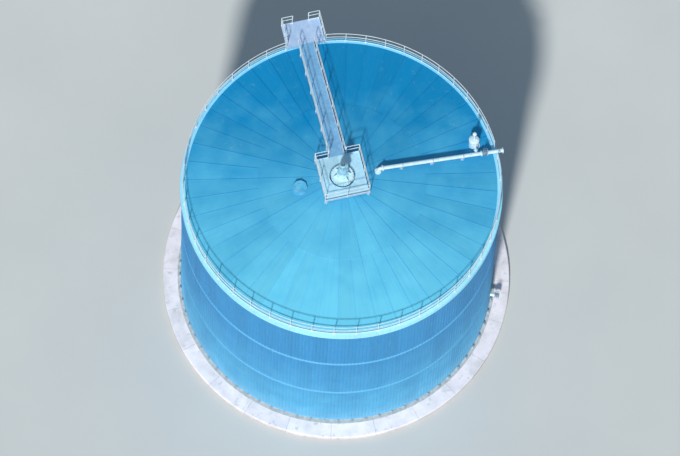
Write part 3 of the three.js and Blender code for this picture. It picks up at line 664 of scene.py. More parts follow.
@dataclass(frozen=True)
class TrowelledConcrete:
    """Cast concrete, steel-trowelled and whitewashed: matt, cloudy, with hairline cracks and damp marks."""

    name: str = "trowelled_whitewashed_concrete"
    wash: str = "eceaf6"
    worn: str = "c5c8cf"
    damp: str = "8f969c"
    earth: str = "b08c72"

    def make(self) -> bpy.types.Material:
        """Build the material: wash worn in clouds, damp marks, cracks and splashed earth.

        Returns:
            The material.
        """
        finish = Finish(self.name, roughness=0.86)
        colour = finish.coat(linear(self.wash), Patches(900, 6.0), 0.40, 0.72, 0.75, self.worn)
        # Damp stands in patches the size of a hand to an arm
        colour = finish.coat(colour, Patches(340, 5.0), 0.60, 0.74, 0.5, self.damp)
        swirl = finish.add("TexNoise", {"Vector": finish.place, "Scale": 1.3}, "Color")
        bent = finish.add("Mix", {0: 0.22, 4: finish.place, 5: swirl}, 1, data_type="VECTOR")
        cells = finish.add("TexVoronoi", {"Vector": bent, "Scale": 0.5}, "Distance",
                           feature="DISTANCE_TO_EDGE")
        crack = finish.add("ValToRGB", (cells,), stops=[(0.0, 0.38), (0.004, 0.0)])
        colour = finish.add("Mix", {0: crack, 6: colour, 7: linear(self.damp)}, 2, data_type="RGBA")
        # Rain throws earth against the slab's side
        height = finish.add("SeparateXYZ", (finish.place,), "Z")
        splash = finish.add("MapRange", (height, 0.0, LEDGE * 0.8, 0.9, 0.0))
        splashed = finish.add("Math", (splash, Patches(130, 6.0)), operation="MULTIPLY")
        colour = finish.add("Mix", {0: splashed, 6: colour, 7: linear(self.earth)}, 2, data_type="RGBA")
        finish.colour(colour, 0.05)
        finish.roughen(Patches(80, 4.0), 0.76, 0.93)
        swept = finish.bump(Patches(240, 3.0), 2.5)
        finish.bump(Patches(7, 3.0), 0.8, swept)
        return finish.material


@dataclass(frozen=True)
class GalvanisedSteel:
    """Steel hot-dipped in zinc and weathered: a dull grey skin with a faint crystal spangle."""

    name: str = "hot_dip_galvanised_steel"
    zinc: str = "c6dbee"
    dull: str = "9fb8d0"
    white_rust: str = "e2f0fa"
    dirt: str = "8a9dac"
    metallic: float = 0.2
    roughness: float = 0.55
    tone_share: float = 0.06
    lozenges: bool = False

    def make(self) -> bpy.types.Material:
        """Build the material: spangle, dull patches, white rust, and a tread where it is floor plate.

        Returns:
            The material.
        """
        finish = Finish(self.name, self.roughness, self.metallic)
        # Crystals are 10 to 20 mm wide; drawn 30 mm wide so that they show
        spangle = finish.add("TexVoronoi", {"Vector": finish.place, "Scale": 1 / 0.03}, "Color")
        grey = finish.add("SeparateColor", (spangle,))
        clouds = finish.add("Math", (Patches(380, 5.0), -0.2), operation="ADD")
        patches = finish.add("Math", (grey, 0.35, clouds), operation="MULTIPLY_ADD")
        share = finish.add("MapRange", (patches, 0.1, 0.75, 0, 1))
        colour = finish.add("Mix", {0: share, 6: linear(self.zinc), 7: linear(self.dull)}, 2,
                            data_type="RGBA")
        colour = finish.coat(colour, Patches(210, 6.0), 0.57, 0.72, 0.6, self.white_rust)
        finish.roughen(Patches(90, 4.0), self.roughness - 0.08, self.roughness + 0.16)
        under = finish.bump(Patches(45, 2.0), 0.4)
        if self.lozenges:
            # Tread lozenges stand 28 mm apart; drawn 79 mm apart so that they show
            waves = []
            for sign in BOTH:
                mirrored = finish.add("VectorMath", (finish.place, (sign, 1, 0)), operation="MULTIPLY")
                waves.append(finish.add("TexWave", {"Vector": mirrored, "Scale": 0.444 / 0.079}, 1,
                                        bands_direction="DIAGONAL"))
            lozenge = finish.add("Math", waves, operation="MULTIPLY")
            finish.bump(finish.add("ValToRGB", (lozenge,), stops=[(0.35, 0.0), (0.6, 1.0)]), 3.0, under)
            # Boots keep the lozenges bright, and dirt stays between them
            between = finish.add("ValToRGB", (lozenge,), stops=[(0.30, 0.30), (0.60, 0.0)])
            colour = finish.add("Mix", {0: between, 6: colour, 7: linear(self.dirt)}, 2, data_type="RGBA")
        finish.colour(colour, self.tone_share)
        return finish.material


@dataclass(frozen=True)
class TreadPlate(GalvanisedSteel):
    """Galvanised floor plate with rolled lozenges: duller than the frame, and bright where boots rub it."""

    metallic: float = 0.05
    roughness: float = 0.66
    tone_share: float = 0.1
    lozenges: bool = True


@dataclass(frozen=True)
class BrushedEnamel:
    """Enamel over steel, brushed or sprayed: satin, with dirt in thin runs and a few rusty chips."""

    name: str
    paint: str
    faded: str
    rust_share: float = 0.25
    grime: str = "5d7383"
    rust: str = "7a4a2e"
    roughness: float = 0.4

    def make(self) -> bpy.types.Material:
        """Build the material: faded patches, grime in runs, chips that show rust.

        Returns:
            The material.
        """
        finish = Finish(self.name, roughness=self.roughness)
        colour = finish.coat(linear(self.paint), Patches(300, 4.0), 0.38, 0.66, 1.0, self.faded)
        runs = finish.streaks(Run.DOWN_WALL, 26, 260)
        colour = finish.coat(colour, runs, 0.54, 0.78, 0.5, self.grime)
        # Chips a few millimetres wide gather in patches; drawn 14 mm wide so that they show
        chips = finish.add("Math", (Patches(14, 3.0), Patches(260, 3.0)), operation="MULTIPLY")
        finish.colour(finish.coat(colour, chips, 0.38, 0.42, self.rust_share, self.rust), 0.05)
        finish.roughen(Patches(60, 4.0), self.roughness - 0.07, self.roughness + 0.16)
        finish.bump(Patches(9, 2.0), 0.12)
        return finish.material


@dataclass(frozen=True)
class RolledAluminium:
    """Thin aluminium jacket over pipe insulation, rolled and banded: soft sheen, small dents."""

    name: str = "rolled_aluminium_jacket"
    bright: str = "e0f5ff"
    dull: str = "c4e6fc"
    marks: str = "86b0ce"

    def make(self) -> bpy.types.Material:
        """Build the material: oxide clouds, rain marks, dents and the rolling's fine lines.

        Returns:
            The material.
        """
        finish = Finish(self.name, roughness=0.4, metallic=0.1)
        colour = finish.coat(linear(self.bright), Patches(240, 5.0), 0.35, 0.7, 1.0, self.dull)
        marks = finish.streaks(Run.DOWN_WALL, 18, 140)
        finish.colour(finish.coat(colour, marks, 0.5, 0.8, 0.4, self.marks), 0.06)
        finish.roughen(Patches(70, 4.0), 0.32, 0.55)
        dents = finish.bump(Patches(150, 1.0), 2.0)
        finish.bump(Patches(4, 1.0), 0.05, dents)
        return finish.material


@dataclass(frozen=True)
class PaintedCasting:
    """Sand-cast iron under machine paint: a fine pebbled skin, chipped to rust on its edges."""

    name: str = "painted_cast_iron"
    paint: str = "6688a0"
    dusty: str = "8ea6b6"
    rust: str = "6e4630"

    def make(self) -> bpy.types.Material:
        """Build the material: pebbled skin, dust and rusty chips.

        Returns:
            The material.
        """
        finish = Finish(self.name, roughness=0.5)
        colour = finish.coat(linear(self.paint), Patches(110, 5.0), 0.4, 0.7, 1.0, self.dusty)
        finish.colour(finish.coat(colour, Patches(22, 4.0), 0.64, 0.68, 0.8, self.rust), 0.08)
        finish.roughen(Patches(40, 3.0), 0.42, 0.66)
        finish.bump(Patches(6, 2.0), 0.7)
        return finish.material


@dataclass(frozen=True)
class PlainStock:
    """A small-part finish whose colour wanders between two shades: plated bolts, rubber, primer, and the dark
    paint that stands for shade inside bores.
    """

    name: str
    first: str
    second: str
    roughness: float
    metallic: float = 0.0
    patch_mm: float = 60.0
    grain_mm: float = 3.0
    grain_depth_mm: float = 0.2

    def make(self) -> bpy.types.Material:
        """Build the material: patches, uneven gloss and a fine grain.

        Returns:
            The material.
        """
        finish = Finish(self.name, self.roughness, self.metallic)
        patches = Patches(self.patch_mm, 5.0)
        finish.colour(finish.coat(linear(self.first), patches, 0.35, 0.68, 1.0, self.second), 0.1)
        finish.roughen(Patches(self.patch_mm / 2, 4.0), max(self.roughness - 0.08, 0.05),
                       min(self.roughness + 0.1, 1.0))
        finish.bump(Patches(self.grain_mm, 2.0), self.grain_depth_mm)
        return finish.material


class Stock:
    """The digester's finishes, each made once."""

    def __init__(self) -> None:
        """Make every material."""
        self.cladding = CoilCoatedSheet("coil_coated_wall_sheet", "1f78b8", "3690cc", Run.DOWN_WALL, 0.26,
                                        10.0, specks=0.22, dust="9cc3dc").make()
        self.belt = CoilCoatedSheet("coil_coated_wall_flashing", "3f97d2", "62b3e4", Run.DOWN_WALL,
                                    specks=0.2, dust="a4cbe0").make()
        self.roofing = CoilCoatedSheet("coil_coated_roof_sheet", "0089c6", "63c5e9", Run.DOWN_ROOF, 0.12,
                                       dust="9cc9dd").make()
        self.trim = CoilCoatedSheet("coil_coated_flashing", "86d4fa", "a2e6ff", Run.DOWN_WALL,
                                    specks=0.3, grime="5d93b3", dust="d3e4ec").make()
        self.concrete = TrowelledConcrete().make()
        self.zinc = GalvanisedSteel().make()
        self.treads = {
            "walkway": TreadPlate("galvanised_walkway_tread", "94cdf6", "74b2e2", "b0dcfa", "5288b6").make(),
            "platform": TreadPlate("galvanised_platform_tread", "c4eeff", "a8dcf8", "d8f4ff",
                                   "74a8cc").make(),
            "landing": TreadPlate("galvanised_landing_tread", "c8e0ff", "a8c8f4", "dcebff", "7898c4").make(),
        }
        self.rail = BrushedEnamel("rail_enamel", "e2f0f8", "c6dcea").make()
        self.machine = BrushedEnamel("machine_enamel", "ccf0ff", "b0def2", 0.15, roughness=0.36).make()
        self.drive = BrushedEnamel("drive_enamel", "9fd3ec", "86bcd8", 0.3, roughness=0.34).make()
        self.hatch = BrushedEnamel("hatch_enamel", "4fb2e2", "78c6ec", 0.35, "2f78a6").make()
        self.manhole = BrushedEnamel("manhole_enamel", "2a82c0", "4497cc", 0.35, "1f5680").make()
        self.jacket = RolledAluminium().make()
        self.casting = PaintedCasting().make()
        # Plated fasteners are brighter and smoother than the dipped steel they hold
        self.bolt = PlainStock("zinc_plated_bolt", "b9c2c8", "8e989e", 0.38, 0.7, 40).make()
        # Sealant and gaskets stay dark and matt
        self.rubber = PlainStock("gasket_rubber", "2c3236", "454c50", 0.82).make()
        self.primer = PlainStock("primed_plate_steel", "b9c6cf", "9cabb6", 0.6, 0.0, 240, 6, 0.4).make()
        # Painted shade: dark discs inside open bores and dark strips over vent slots stand for the shade in
        # them
        self.bore = PlainStock("pipe_bore_painted_shade", "1c2226", "30393e", 0.75).make()
        # Toughened glass over a dark inside gives one small bright reflection
        self.glass = PlainStock("sight_glass", "12303c", "1d4450", 0.08, 0.0, 200, 50, 0.05).make()

    def dress_solids(self) -> None:
        """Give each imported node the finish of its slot."""
        by_slot = {
            "white_concrete": self.concrete, "grey_steel": self.primer, "blue_cladding": self.cladding,
            "roof_sheet": self.roofing, "pale_trim": self.trim, "rail_paint": self.rail,
            "galvanised_steel": self.zinc, "mixer_paint": self.machine, "pipe_jacket": self.jacket,
            "valve_paint": self.casting,
        }
        for part in frame["record"]["subparts"]:
            mesh = frame["nodes"][part["node"]].data
            mesh.materials.clear()
            mesh.materials.append(by_slot[part["material_slot"]])


@dataclass
class Assembly:
    """A sub-assembly in the making: the finishes, and its bolts, its dark parts with the painted shade inside
    openings, and glass.
    """

    stock: Stock
    bolts: Form = field(init=False, default_factory=Form)
    dark: Form = field(init=False, default_factory=Form)
    glass: Form = field(init=False, default_factory=Form)


@dataclass
class Foundation(Assembly):
    """The round slab, cast in bays with sealed joints between them."""

    radius: float = high("foundation").x
    chamfer: float = 0.04
    bays: int = 24
    joint: float = 0.012
    core: float = 9.6
    seal_below: float = 0.010

    def build(self) -> None:
        """Build the bays and the sealant in their joints."""
        chance = random.Random(11)
        slab, seal = Form(), Form()
        half_joint = self.joint / 2 / self.radius
        outline = [(self.core, 0), (self.radius, 0), (self.radius, LEDGE - self.chamfer),
                   (self.radius - self.chamfer, LEDGE), (self.core, LEDGE)]
        for bay in range(self.bays):
            slab.tone = chance.uniform(-1, 1)
            start, end = (FULL_TURN * (bay + step) / self.bays for step in (0, 1))
            slab.ring(HERE, outline, 8, (start + half_joint, end - half_joint))
        slab.column(HERE, [(self.core, 0), (self.core, LEDGE)], 96)
        slab.piece("foundation_bays", "white_concrete", self.stock.concrete, ["foundation"])
        face, top = self.radius - self.seal_below, LEDGE - self.seal_below
        seal.ring(HERE, [(self.core, 0.002), (face, 0.002), (face, LEDGE - self.chamfer - 0.004),
                         (face - self.chamfer, top), (self.core, top)])
        seal.piece("joint_sealant", "white_concrete", self.stock.rubber)


@dataclass
class BaseRing(Assembly):
    """The steel ring at the wall's foot, held down by anchor bolts in welded chairs."""

    edge: float = high("base_ring").x
    lip: float = high("base_ring").z
    plate: float = 0.04
    chairs: int = 72
    reach: float = 0.17
    height: float = 0.16
    gusset: float = 0.012
    spacing: float = 0.11
    bolt: float = 0.036

    def build(self) -> None:
        """Build the ring with its chairs, and the anchor bolts."""
        ring = Form()
        inner, wall, floor = RADIUS + 0.001, RADIUS + self.plate, LEDGE + self.plate
        ring.ring(HERE, [(inner, LEDGE), (self.edge, LEDGE), (self.edge, floor - 0.006),
                         (self.edge - 0.006, floor), (inner, floor)])
        ring.ring(HERE, [(inner, floor), (wall, floor), (wall, self.lip - 0.01), (wall - 0.01, self.lip),
                         (inner, self.lip)])
        top, seat = floor + self.height, 0.6 * self.reach
        for index in range(self.chairs):
            angle = FULL_TURN * (index + 0.5) / self.chairs
            for sign in BOTH:
                ring.gusset(angle, sign * self.spacing / 2 - self.gusset / 2, [
                    (wall, floor), (wall + self.reach, floor), (wall + seat, top), (wall, top)], self.gusset)
            spot = polar(wall + seat / 2, angle, top)
            ring.box(shifted(aimed(spot, UP, polar(1, angle)), z=0.01),
                     (seat, self.spacing + 3 * self.gusset, 0.02))
            anchor = shifted(aimed(spot), z=0.02)
            self.bolts.column(anchor, [(self.bolt / 2, 0), (self.bolt / 2, 0.07)], 8)
            self.bolts.bolt(anchor, self.bolt)
        ring.piece("base_ring_and_chairs", "grey_steel", self.stock.primer, ["base_ring"])
        self.bolts.piece("anchor_bolts", "galvanised_steel", self.stock.bolt)


@dataclass
class Cladding(Assembly):
    """Ribbed wall sheets over the insulation, in three courses with flashings between them."""

    ribs: int = 280
    sheet_ribs: int = 4
    back: float = RADIUS + 0.0005
    pan: float = RADIUS + 0.004
    crown: float = RADIUS + 0.028
    lap: float = 0.0014
    foot: float = LEDGE + 0.26
    top: float = WALL_TOP - 0.20
    lengths: int = 24
    screw: float = 0.008
    screw_rows: tuple[float, ...] = (0.30, 1.45, 2.6, 3.75, 4.75)
    section: Profile = ((0.0, 0.0), (0.60, 0.0), (0.69, 1.0), (0.91, 1.0))

    def build(self) -> None:
        """Build the three courses, their flashings and their screws."""
        chance = random.Random(23)
        for index, course in enumerate(COURSES):
            base = LEDGE + index * COURSE_HEIGHT
            self.course(course, max(base, self.foot), min(base + COURSE_HEIGHT, self.top), chance)
        self.flashings()
        self.screws()

    def course(self, name: str, foot: float, top: float, chance: random.Random) -> None:
        """Build one course of sheets as a closed ribbed skin.

        Args:
            name: The course's name.
            foot: The height of its lower edge.
            top: The height of its upper edge.
            chance: Gives each sheet its tone.
        """
        rings, tones, form = [], [], Form()
        for rib in range(self.ribs):
            if rib % self.sheet_ribs == 0:
                tone = chance.uniform(-1, 1)
            lapped = self.lap if rib % self.sheet_ribs == self.sheet_ribs - 1 else 0.0
            for share, rise in self.section:
                angle = FULL_TURN * (rib + share) / self.ribs
                face = self.pan + rise * (self.crown - self.pan + lapped)
                rings.append([polar(radius, angle, height) for radius, height in (
                    (self.back, foot), (self.back, top), (face, top), (face, foot))])
                tones.append(tone)
        form.loft(rings, closed=True, tones=tones)
        form.piece(f"cladding_{name}", "blue_cladding", self.stock.cladding, crease=20)

    def flashings(self) -> None:
        """Build the drip flashing at the foot and a belt flashing over each joint of two courses."""
        form = Form()
        face = self.crown + 0.004
        belt = [(self.pan, 0.11), (face, 0.085), (face + 0.003, 0.083), (face + 0.003, -0.06),
                (face + 0.012, -0.078), (face + 0.009, -0.081), (face, -0.062), (face, 0.075),
                (self.pan, 0.10)]
        drip = [(self.pan, 0.13), (RADIUS + 0.043, 0.03), (RADIUS + 0.056, -0.012),
                (RADIUS + 0.053, -0.015), (RADIUS + 0.040, 0.022), (self.pan, 0.115)]
        for level, outline in ((self.foot, drip), (LEDGE + COURSE_HEIGHT, belt),
                               (LEDGE + 2 * COURSE_HEIGHT, belt)):
            for index in range(self.lengths):
                form.ring(shifted(HERE, z=level), outline, 8, arc(index, self.lengths, 0.003))
        form.piece("wall_flashings", "pale_trim", self.stock.belt)

    def screws(self) -> None:
        """Build the capped screws in rows over the wall rails, one in every second pan."""
        form = Form()
        middle = self.section[1][0] / 2
        rows = [LEDGE + course * COURSE_HEIGHT + row for course in range(3) for row in self.screw_rows]
        for level, rib in product([row for row in rows if row <= self.top], range(0, self.ribs, 2)):
            angle = FULL_TURN * (rib + middle) / self.ribs
            place = aimed(polar(self.pan, angle, level), polar(1, angle))
            form.column(place, [(2 * self.screw, 0), (1.2 * self.screw, self.screw)], 6)
        form.piece("cladding_screws", "galvanised_steel", self.stock.bolt)


@dataclass
class RoofCovering(Assembly):
    """Seamed roof sheets, their laps, the pale cap at the edge and the fascia below it."""

    outer_sheets: int = 48
    inner_sheets: int = 24
    joint: float = 5.2
    cap: float = 9.78
    collar: float = 0.79
    sheet: float = 0.004
    wave: float = 0.0045
    seam_height: float = 0.036
    seam_width: float = 0.024
    lengths: int = 24

    def build(self) -> None:
        """Build the sheets, seams, laps, edge cap and fascia."""
        chance = random.Random(37)
        self.sheets("outer", self.outer_sheets, (self.joint - 0.05, self.cap + 0.06), 0.001, chance)
        self.sheets("inner", self.inner_sheets, (self.collar, self.joint + 0.05), 0.007, chance)
        self.seams()
        self.edge()

    def sheets(self, name: str, count: int, span: tuple[float, float], lift: float,
               chance: random.Random) -> None:
        """Build one round of sheets as thin closed solids.

        Args:
            name: The round's name.
            count: How many sheets go round.
            span: The radii of their upper and lower edge.
            lift: How far their underside lies above the roof.
            chance: Gives each sheet its tone and its waviness.
        """
        form = Form()
        across, down = 6, 12
        start, end = span
        gap = 0.002 / start
        width = FULL_TURN / count - 2 * gap
        turns = [share / across for share in range(across + 1)]
        for index in range(count):
            form.tone = chance.uniform(-1, 1)
            phase, pace = chance.uniform(0, FULL_TURN), chance.uniform(2.2, 4.0)
            first = FULL_TURN * index / count + gap
            rings = []
            for step in range(down + 1):
                radius = start + (end - start) * step / down
                under = roof_at(radius) + lift
                swell = self.wave * (0.55 + 0.45 * math.sin(pace * radius + phase))
                lower = [polar(radius, first + width * t, under) for t in turns]
                upper = [polar(radius, first + width * t, under + self.sheet + swell * math.sin(math.pi * t))
                         for t in reversed(turns)]
                rings.append(lower + upper)
            form.loft(rings)
        form.piece(f"roof_sheets_{name}", "roof_sheet", self.stock.roofing, crease=20)

    def seams(self) -> None:
        """Build the standing seams, the strip over the lap of the two rounds, and the collar."""
        form = Form()
        half, bead = self.seam_width / 2, self.seam_height - 0.012
        web, head = 0.35 * half, 0.8 * half
        right = [(half, 0), (web, 0.012), (web, bead), (head, bead + 0.003), (head, self.seam_height)]
        section = [(-half, 0), *right, *[(-x, z) for x, z in reversed(right[1:])]]
        rounds = ((self.inner_sheets, self.collar + 0.05, self.joint + 0.04, 0.006),
                  (self.outer_sheets, self.joint + 0.06, self.cap - 0.01, 0.0))
        for count, start, end, lift in rounds:
            for index in range(count):
                angle = FULL_TURN * index / count
                side = UP.cross(polar(1, angle))
                form.loft([[polar(radius, angle, roof_at(radius) + lift) + side * x + UP * z
                            for x, z in section] for radius in (start, end)])
        inner, outer = self.joint, self.joint + 0.062
        form.ring(HERE, [(inner, roof_at(inner) + 0.008), (outer, roof_at(outer) + 0.002),
                         (outer, roof_at(outer) + 0.016), (inner, roof_at(inner) + 0.019)])
        inner, outer = self.collar - 0.01, self.collar + 0.06
        form.ring(HERE, [(inner, roof_at(self.collar)), (outer, roof_at(outer)),
                         (outer, roof_at(outer) + 0.02), (inner, roof_at(self.collar) + 0.026)], 72)
        form.piece("roof_seams", "roof_sheet", self.stock.roofing)

    def edge(self) -> None:
        """Build the sloping cap that carries the railing, and the upright fascia under its edge."""
        form = Form()
        chance = random.Random(41)
        inner, outer = self.cap, EDGE_RADIUS + 0.002
        cap = [(inner, roof_at(inner) + 0.005), (outer, roof_at(outer) + 0.003),
               (outer, roof_at(outer) + 0.016), (inner + 0.015, roof_at(inner) + 0.022),
               (inner, roof_at(inner) + 0.012)]
        face, foot, top = EDGE_RADIUS + 0.0006, WALL_TOP - 0.225, ROOF_EDGE_TOP
        fascia = [(face, foot + 0.02), (face + 0.003, foot + 0.019), (face + 0.003, top + 0.004),
                  (face + 0.0005, top + 0.005), (face, top)]
        drip = [(face, foot + 0.03), (face + 0.004, foot + 0.03), (face + 0.018, foot - 0.012),
                (face + 0.014, foot - 0.014)]
        rivet_band = square(face + 0.002, face + 0.008, WALL_TOP - 0.004, WALL_TOP + 0.012)
        for index in range(self.lengths):
            form.tone = chance.uniform(-1, 1)
            for outline in (cap, fascia, drip, rivet_band):
                form.ring(HERE, outline, 8, arc(index, self.lengths, 0.004))
        form.piece("roof_edge_trim", "pale_trim", self.stock.trim)


class Foot(Enum):
    """How a railing's posts are held."""

    ON_ROOF = "on_roof"
    ON_DECK = "on_deck"
    BESIDE_DECK = "beside_deck"


@dataclass
class Railing:
    """A tube railing: posts, a bent loop that is top and mid rail in one, toe board and feet."""

    node: str
    route: Sequence[Vector]
    posts: Sequence[Vector]
    foot: Foot
    inside: int
    loop_start: bool = True
    loop_end: bool = True
    toe_height: float = 0.10
    toe_thickness: float = 0.005
    bend: float = 0.09

    def build(self, stock: Stock, bolts: Form) -> None:
        """Build the railing, and add its bolts to a shared form.

        Args:
            stock: The finishes.
            bolts: Takes the bolts of all railings.
        """
        form = Form()
        top = [point + UP * (RAIL_TOP - RAIL_RADIUS - 0.001) for point in self.route]
        middle = [point + UP * MID_RAIL for point in self.route]
        whole = self.loop_start and self.loop_end
        path = [*top, *reversed(middle)] if self.loop_end else [*reversed(top), *middle]
        form.tube(rounded(path, self.bend, whole), RAIL_RADIUS, 12, whole)
        inset = sorted((self.inside * POST_RADIUS, self.inside * (POST_RADIUS + self.toe_thickness)))
        form.strip(self.route, tuple(inset), (0.012, 0.012 + self.toe_height))
        for post in self.posts:
            self.stand(form, bolts, post)
        form.piece(self.node.replace("rail", "railing"), "rail_paint", stock.rail, [self.node])

    def inward(self, post: Vector) -> list[Vector]:
        """Return the ways from a post to the deck.

        Args:
            post: The post's place on the route.

        Returns:
            One way, or two where the post stands at a corner.
        """
        ways = []
        for start, end in zip(self.route, self.route[1:]):
            step = end - start
            share = min(max((post - start).dot(step) / step.length_squared, 0.0), 1.0)
            way = UP.cross(Vector((step.x, step.y, 0)).normalized()) * self.inside
            near = (start + step * share - post).length < POST_RADIUS
            if near and all(way.dot(other) < 0.5 for other in ways):
                ways.append(way)
        return ways

    def stand(self, form: Form, bolts: Form, post: Vector) -> None:
        """Add one post with its foot and bolts.

        Args:
            form: Takes the post and its foot.
            bolts: Takes the bolts.
            post: The post's place on the route.
        """
        ways = self.inward(post)
        top = RAIL_TOP - RAIL_RADIUS
        if self.foot is Foot.BESIDE_DECK:
            form.column(aimed(post), [(POST_RADIUS, -DECK_FRAME), (POST_RADIUS, top)], 14)
            for way in ways:
                # At a corner there is a plate against each side, moved along it from the corner
                beside = sum((other for other in ways if other is not way), Vector()) * 0.04
                plate = aimed(post - UP * 0.075 + way * 0.012 + beside, -way, UP)
                form.box(plate, (0.12, 0.07 + 2 * beside.length, 0.026))
                # The bolts pass through the post, or through the plate beside a corner post
                face = 0.013 if beside.length else POST_RADIUS + 0.012
                spot = aimed(plate.translation + beside, -way, UP)
                bolts.bolt_grid(shifted(spot, z=face), (-0.04, 0.04), (0,), 0.014)
            return
        if self.foot is Foot.ON_ROOF:
            place, collar = on_roof(post.x, post.y), 0.006
            size, rise = (0.13, 0.15, 0.012), 0.024
        else:
            place, collar = aimed(post + sum(ways, Vector()) * 0.033, UP, ways[0]), 0.0004
            size, rise = (0.112, 0.102 + 0.010 * (len(ways) - 1), 0.010), 0.009
        form.column(aimed(post), [(POST_RADIUS + collar, 0.0), (POST_RADIUS + collar, rise + 0.022),
                                  (POST_RADIUS, rise + 0.03), (POST_RADIUS, top)], 14)
        form.box(shifted(place, z=rise), size)
        x, y = 0.38 * size[0], 0.38 * size[1]
        bolts.bolt_grid(shifted(place, z=rise + size[2] / 2), (-x, x), (-y, y), 0.011)


@dataclass
class Guards(Assembly):
    """All the railings: round the roof's edge, the landing, the walkway and the platform."""

    landing_inner: float = low("landing").y
    landing_outer: float = high("landing").y
    landing_half: float = high("landing").x
    landing_deck: float = high("landing").z
    platform_half: float = high("platform").x
    platform_deck: float = high("platform").z
    walkway_half: float = high("walkway").x
    bridge_half: float = 0.5
    post: float = 0.05
    stations: int = 6

    def build(self) -> None:
        """Build each railing and the bolts of them all."""
        self.edge()
        self.landing()
        self.walkway()
        self.platform()
        self.bolts.piece("railing_bolts", "galvanised_steel", self.stock.bolt)

    def edge(self) -> None:
        """Build the four curved panels on the roof's edge."""
        gap = math.asin((self.landing_half + self.post) / EDGE_RAIL_RADIUS)
        joint = math.radians(182)
        spans = {"north_east": (GAS_GAP, QUARTER - gap, True, True),
                 "north_west": (QUARTER + gap, joint, True, False),
                 "south_west": (joint, 3 * QUARTER, True, True),
                 "south_east": (3 * QUARTER, FULL_TURN - GAS_GAP, False, True)}
        foot, margin, steps = roof_at(EDGE_RAIL_RADIUS), 0.004 / EDGE_RAIL_RADIUS, 6 * EDGE_RAIL_BAYS
        for name, (start, end, loop_start, loop_end) in spans.items():
            posts = [polar(EDGE_RAIL_RADIUS, start + (end - start) * bay / EDGE_RAIL_BAYS, foot)
                     for bay in range(EDGE_RAIL_BAYS + 1)]
            # The west panels leave their last post to the panel that follows
            if name.endswith("west"):
                posts.pop()
            route = [polar(EDGE_RAIL_RADIUS, start + margin + (end - start - 2 * margin) * step / steps, foot)
                     for step in range(steps + 1)]
            Railing(f"edge_rail_{name}", route, posts, Foot.ON_ROOF, 1, loop_start, loop_end).build(
                self.stock, self.bolts)

    def landing(self) -> None:
        """Build the landing's two railings, each with a return beside the catwalk's end."""
        x, y = self.landing_half - self.post / 2, self.landing_outer - self.post / 2
        first = self.landing_inner + self.post
        for side, sign in (("east", 1), ("west", -1)):
            route, posts = ([Vector((sign * a, b, self.landing_deck)) for a, b in corners] for corners in (
                ((x, self.landing_inner + 0.01), (x, y), (self.bridge_half + 0.004, y)),
                ((x, first), (x, (first + y) / 2), (x, y), (self.bridge_half + self.post / 2, y))))
            Railing(f"landing_rail_{side}", route, posts, Foot.ON_DECK, sign).build(self.stock, self.bolts)

    def walkway(self) -> None:
        """Build the two sloping railings of the walkway."""
        near, far = low("walkway").y, high("walkway").y
        stands = [near + (far - near) / self.stations * (index + 0.5) for index in range(self.stations)]
        x = self.walkway_half + self.post / 2
        for side, sign in (("east", 1), ("west", -1)):
            route, posts = ([Vector((sign * x, y, deck_at(y))) for y in row]
                            for row in ((near + 0.03, far - 0.03), stands))
            Railing(f"walkway_rail_{side}", route, posts, Foot.BESIDE_DECK, sign).build(
                self.stock, self.bolts)

    def platform(self) -> None:
        """Build the square railing round the platform, open towards the walkway."""
        edge, entry = self.platform_half + self.post / 2, self.walkway_half + self.post
        first = entry + self.post / 2
        route, posts = ([Vector((x, y, self.platform_deck)) for x, y in row] for row in (
            ((entry, edge), (edge, edge), (edge, -edge), (-edge, -edge), (-edge, edge), (-entry, edge)),
            ((first, edge), (-first, edge), (0, -edge), (edge, 0), (-edge, 0), (edge, edge), (-edge, edge),
             (edge, -edge), (-edge, -edge))))
        Railing("platform_rail", route, posts, Foot.BESIDE_DECK, -1).build(self.stock, self.bolts)


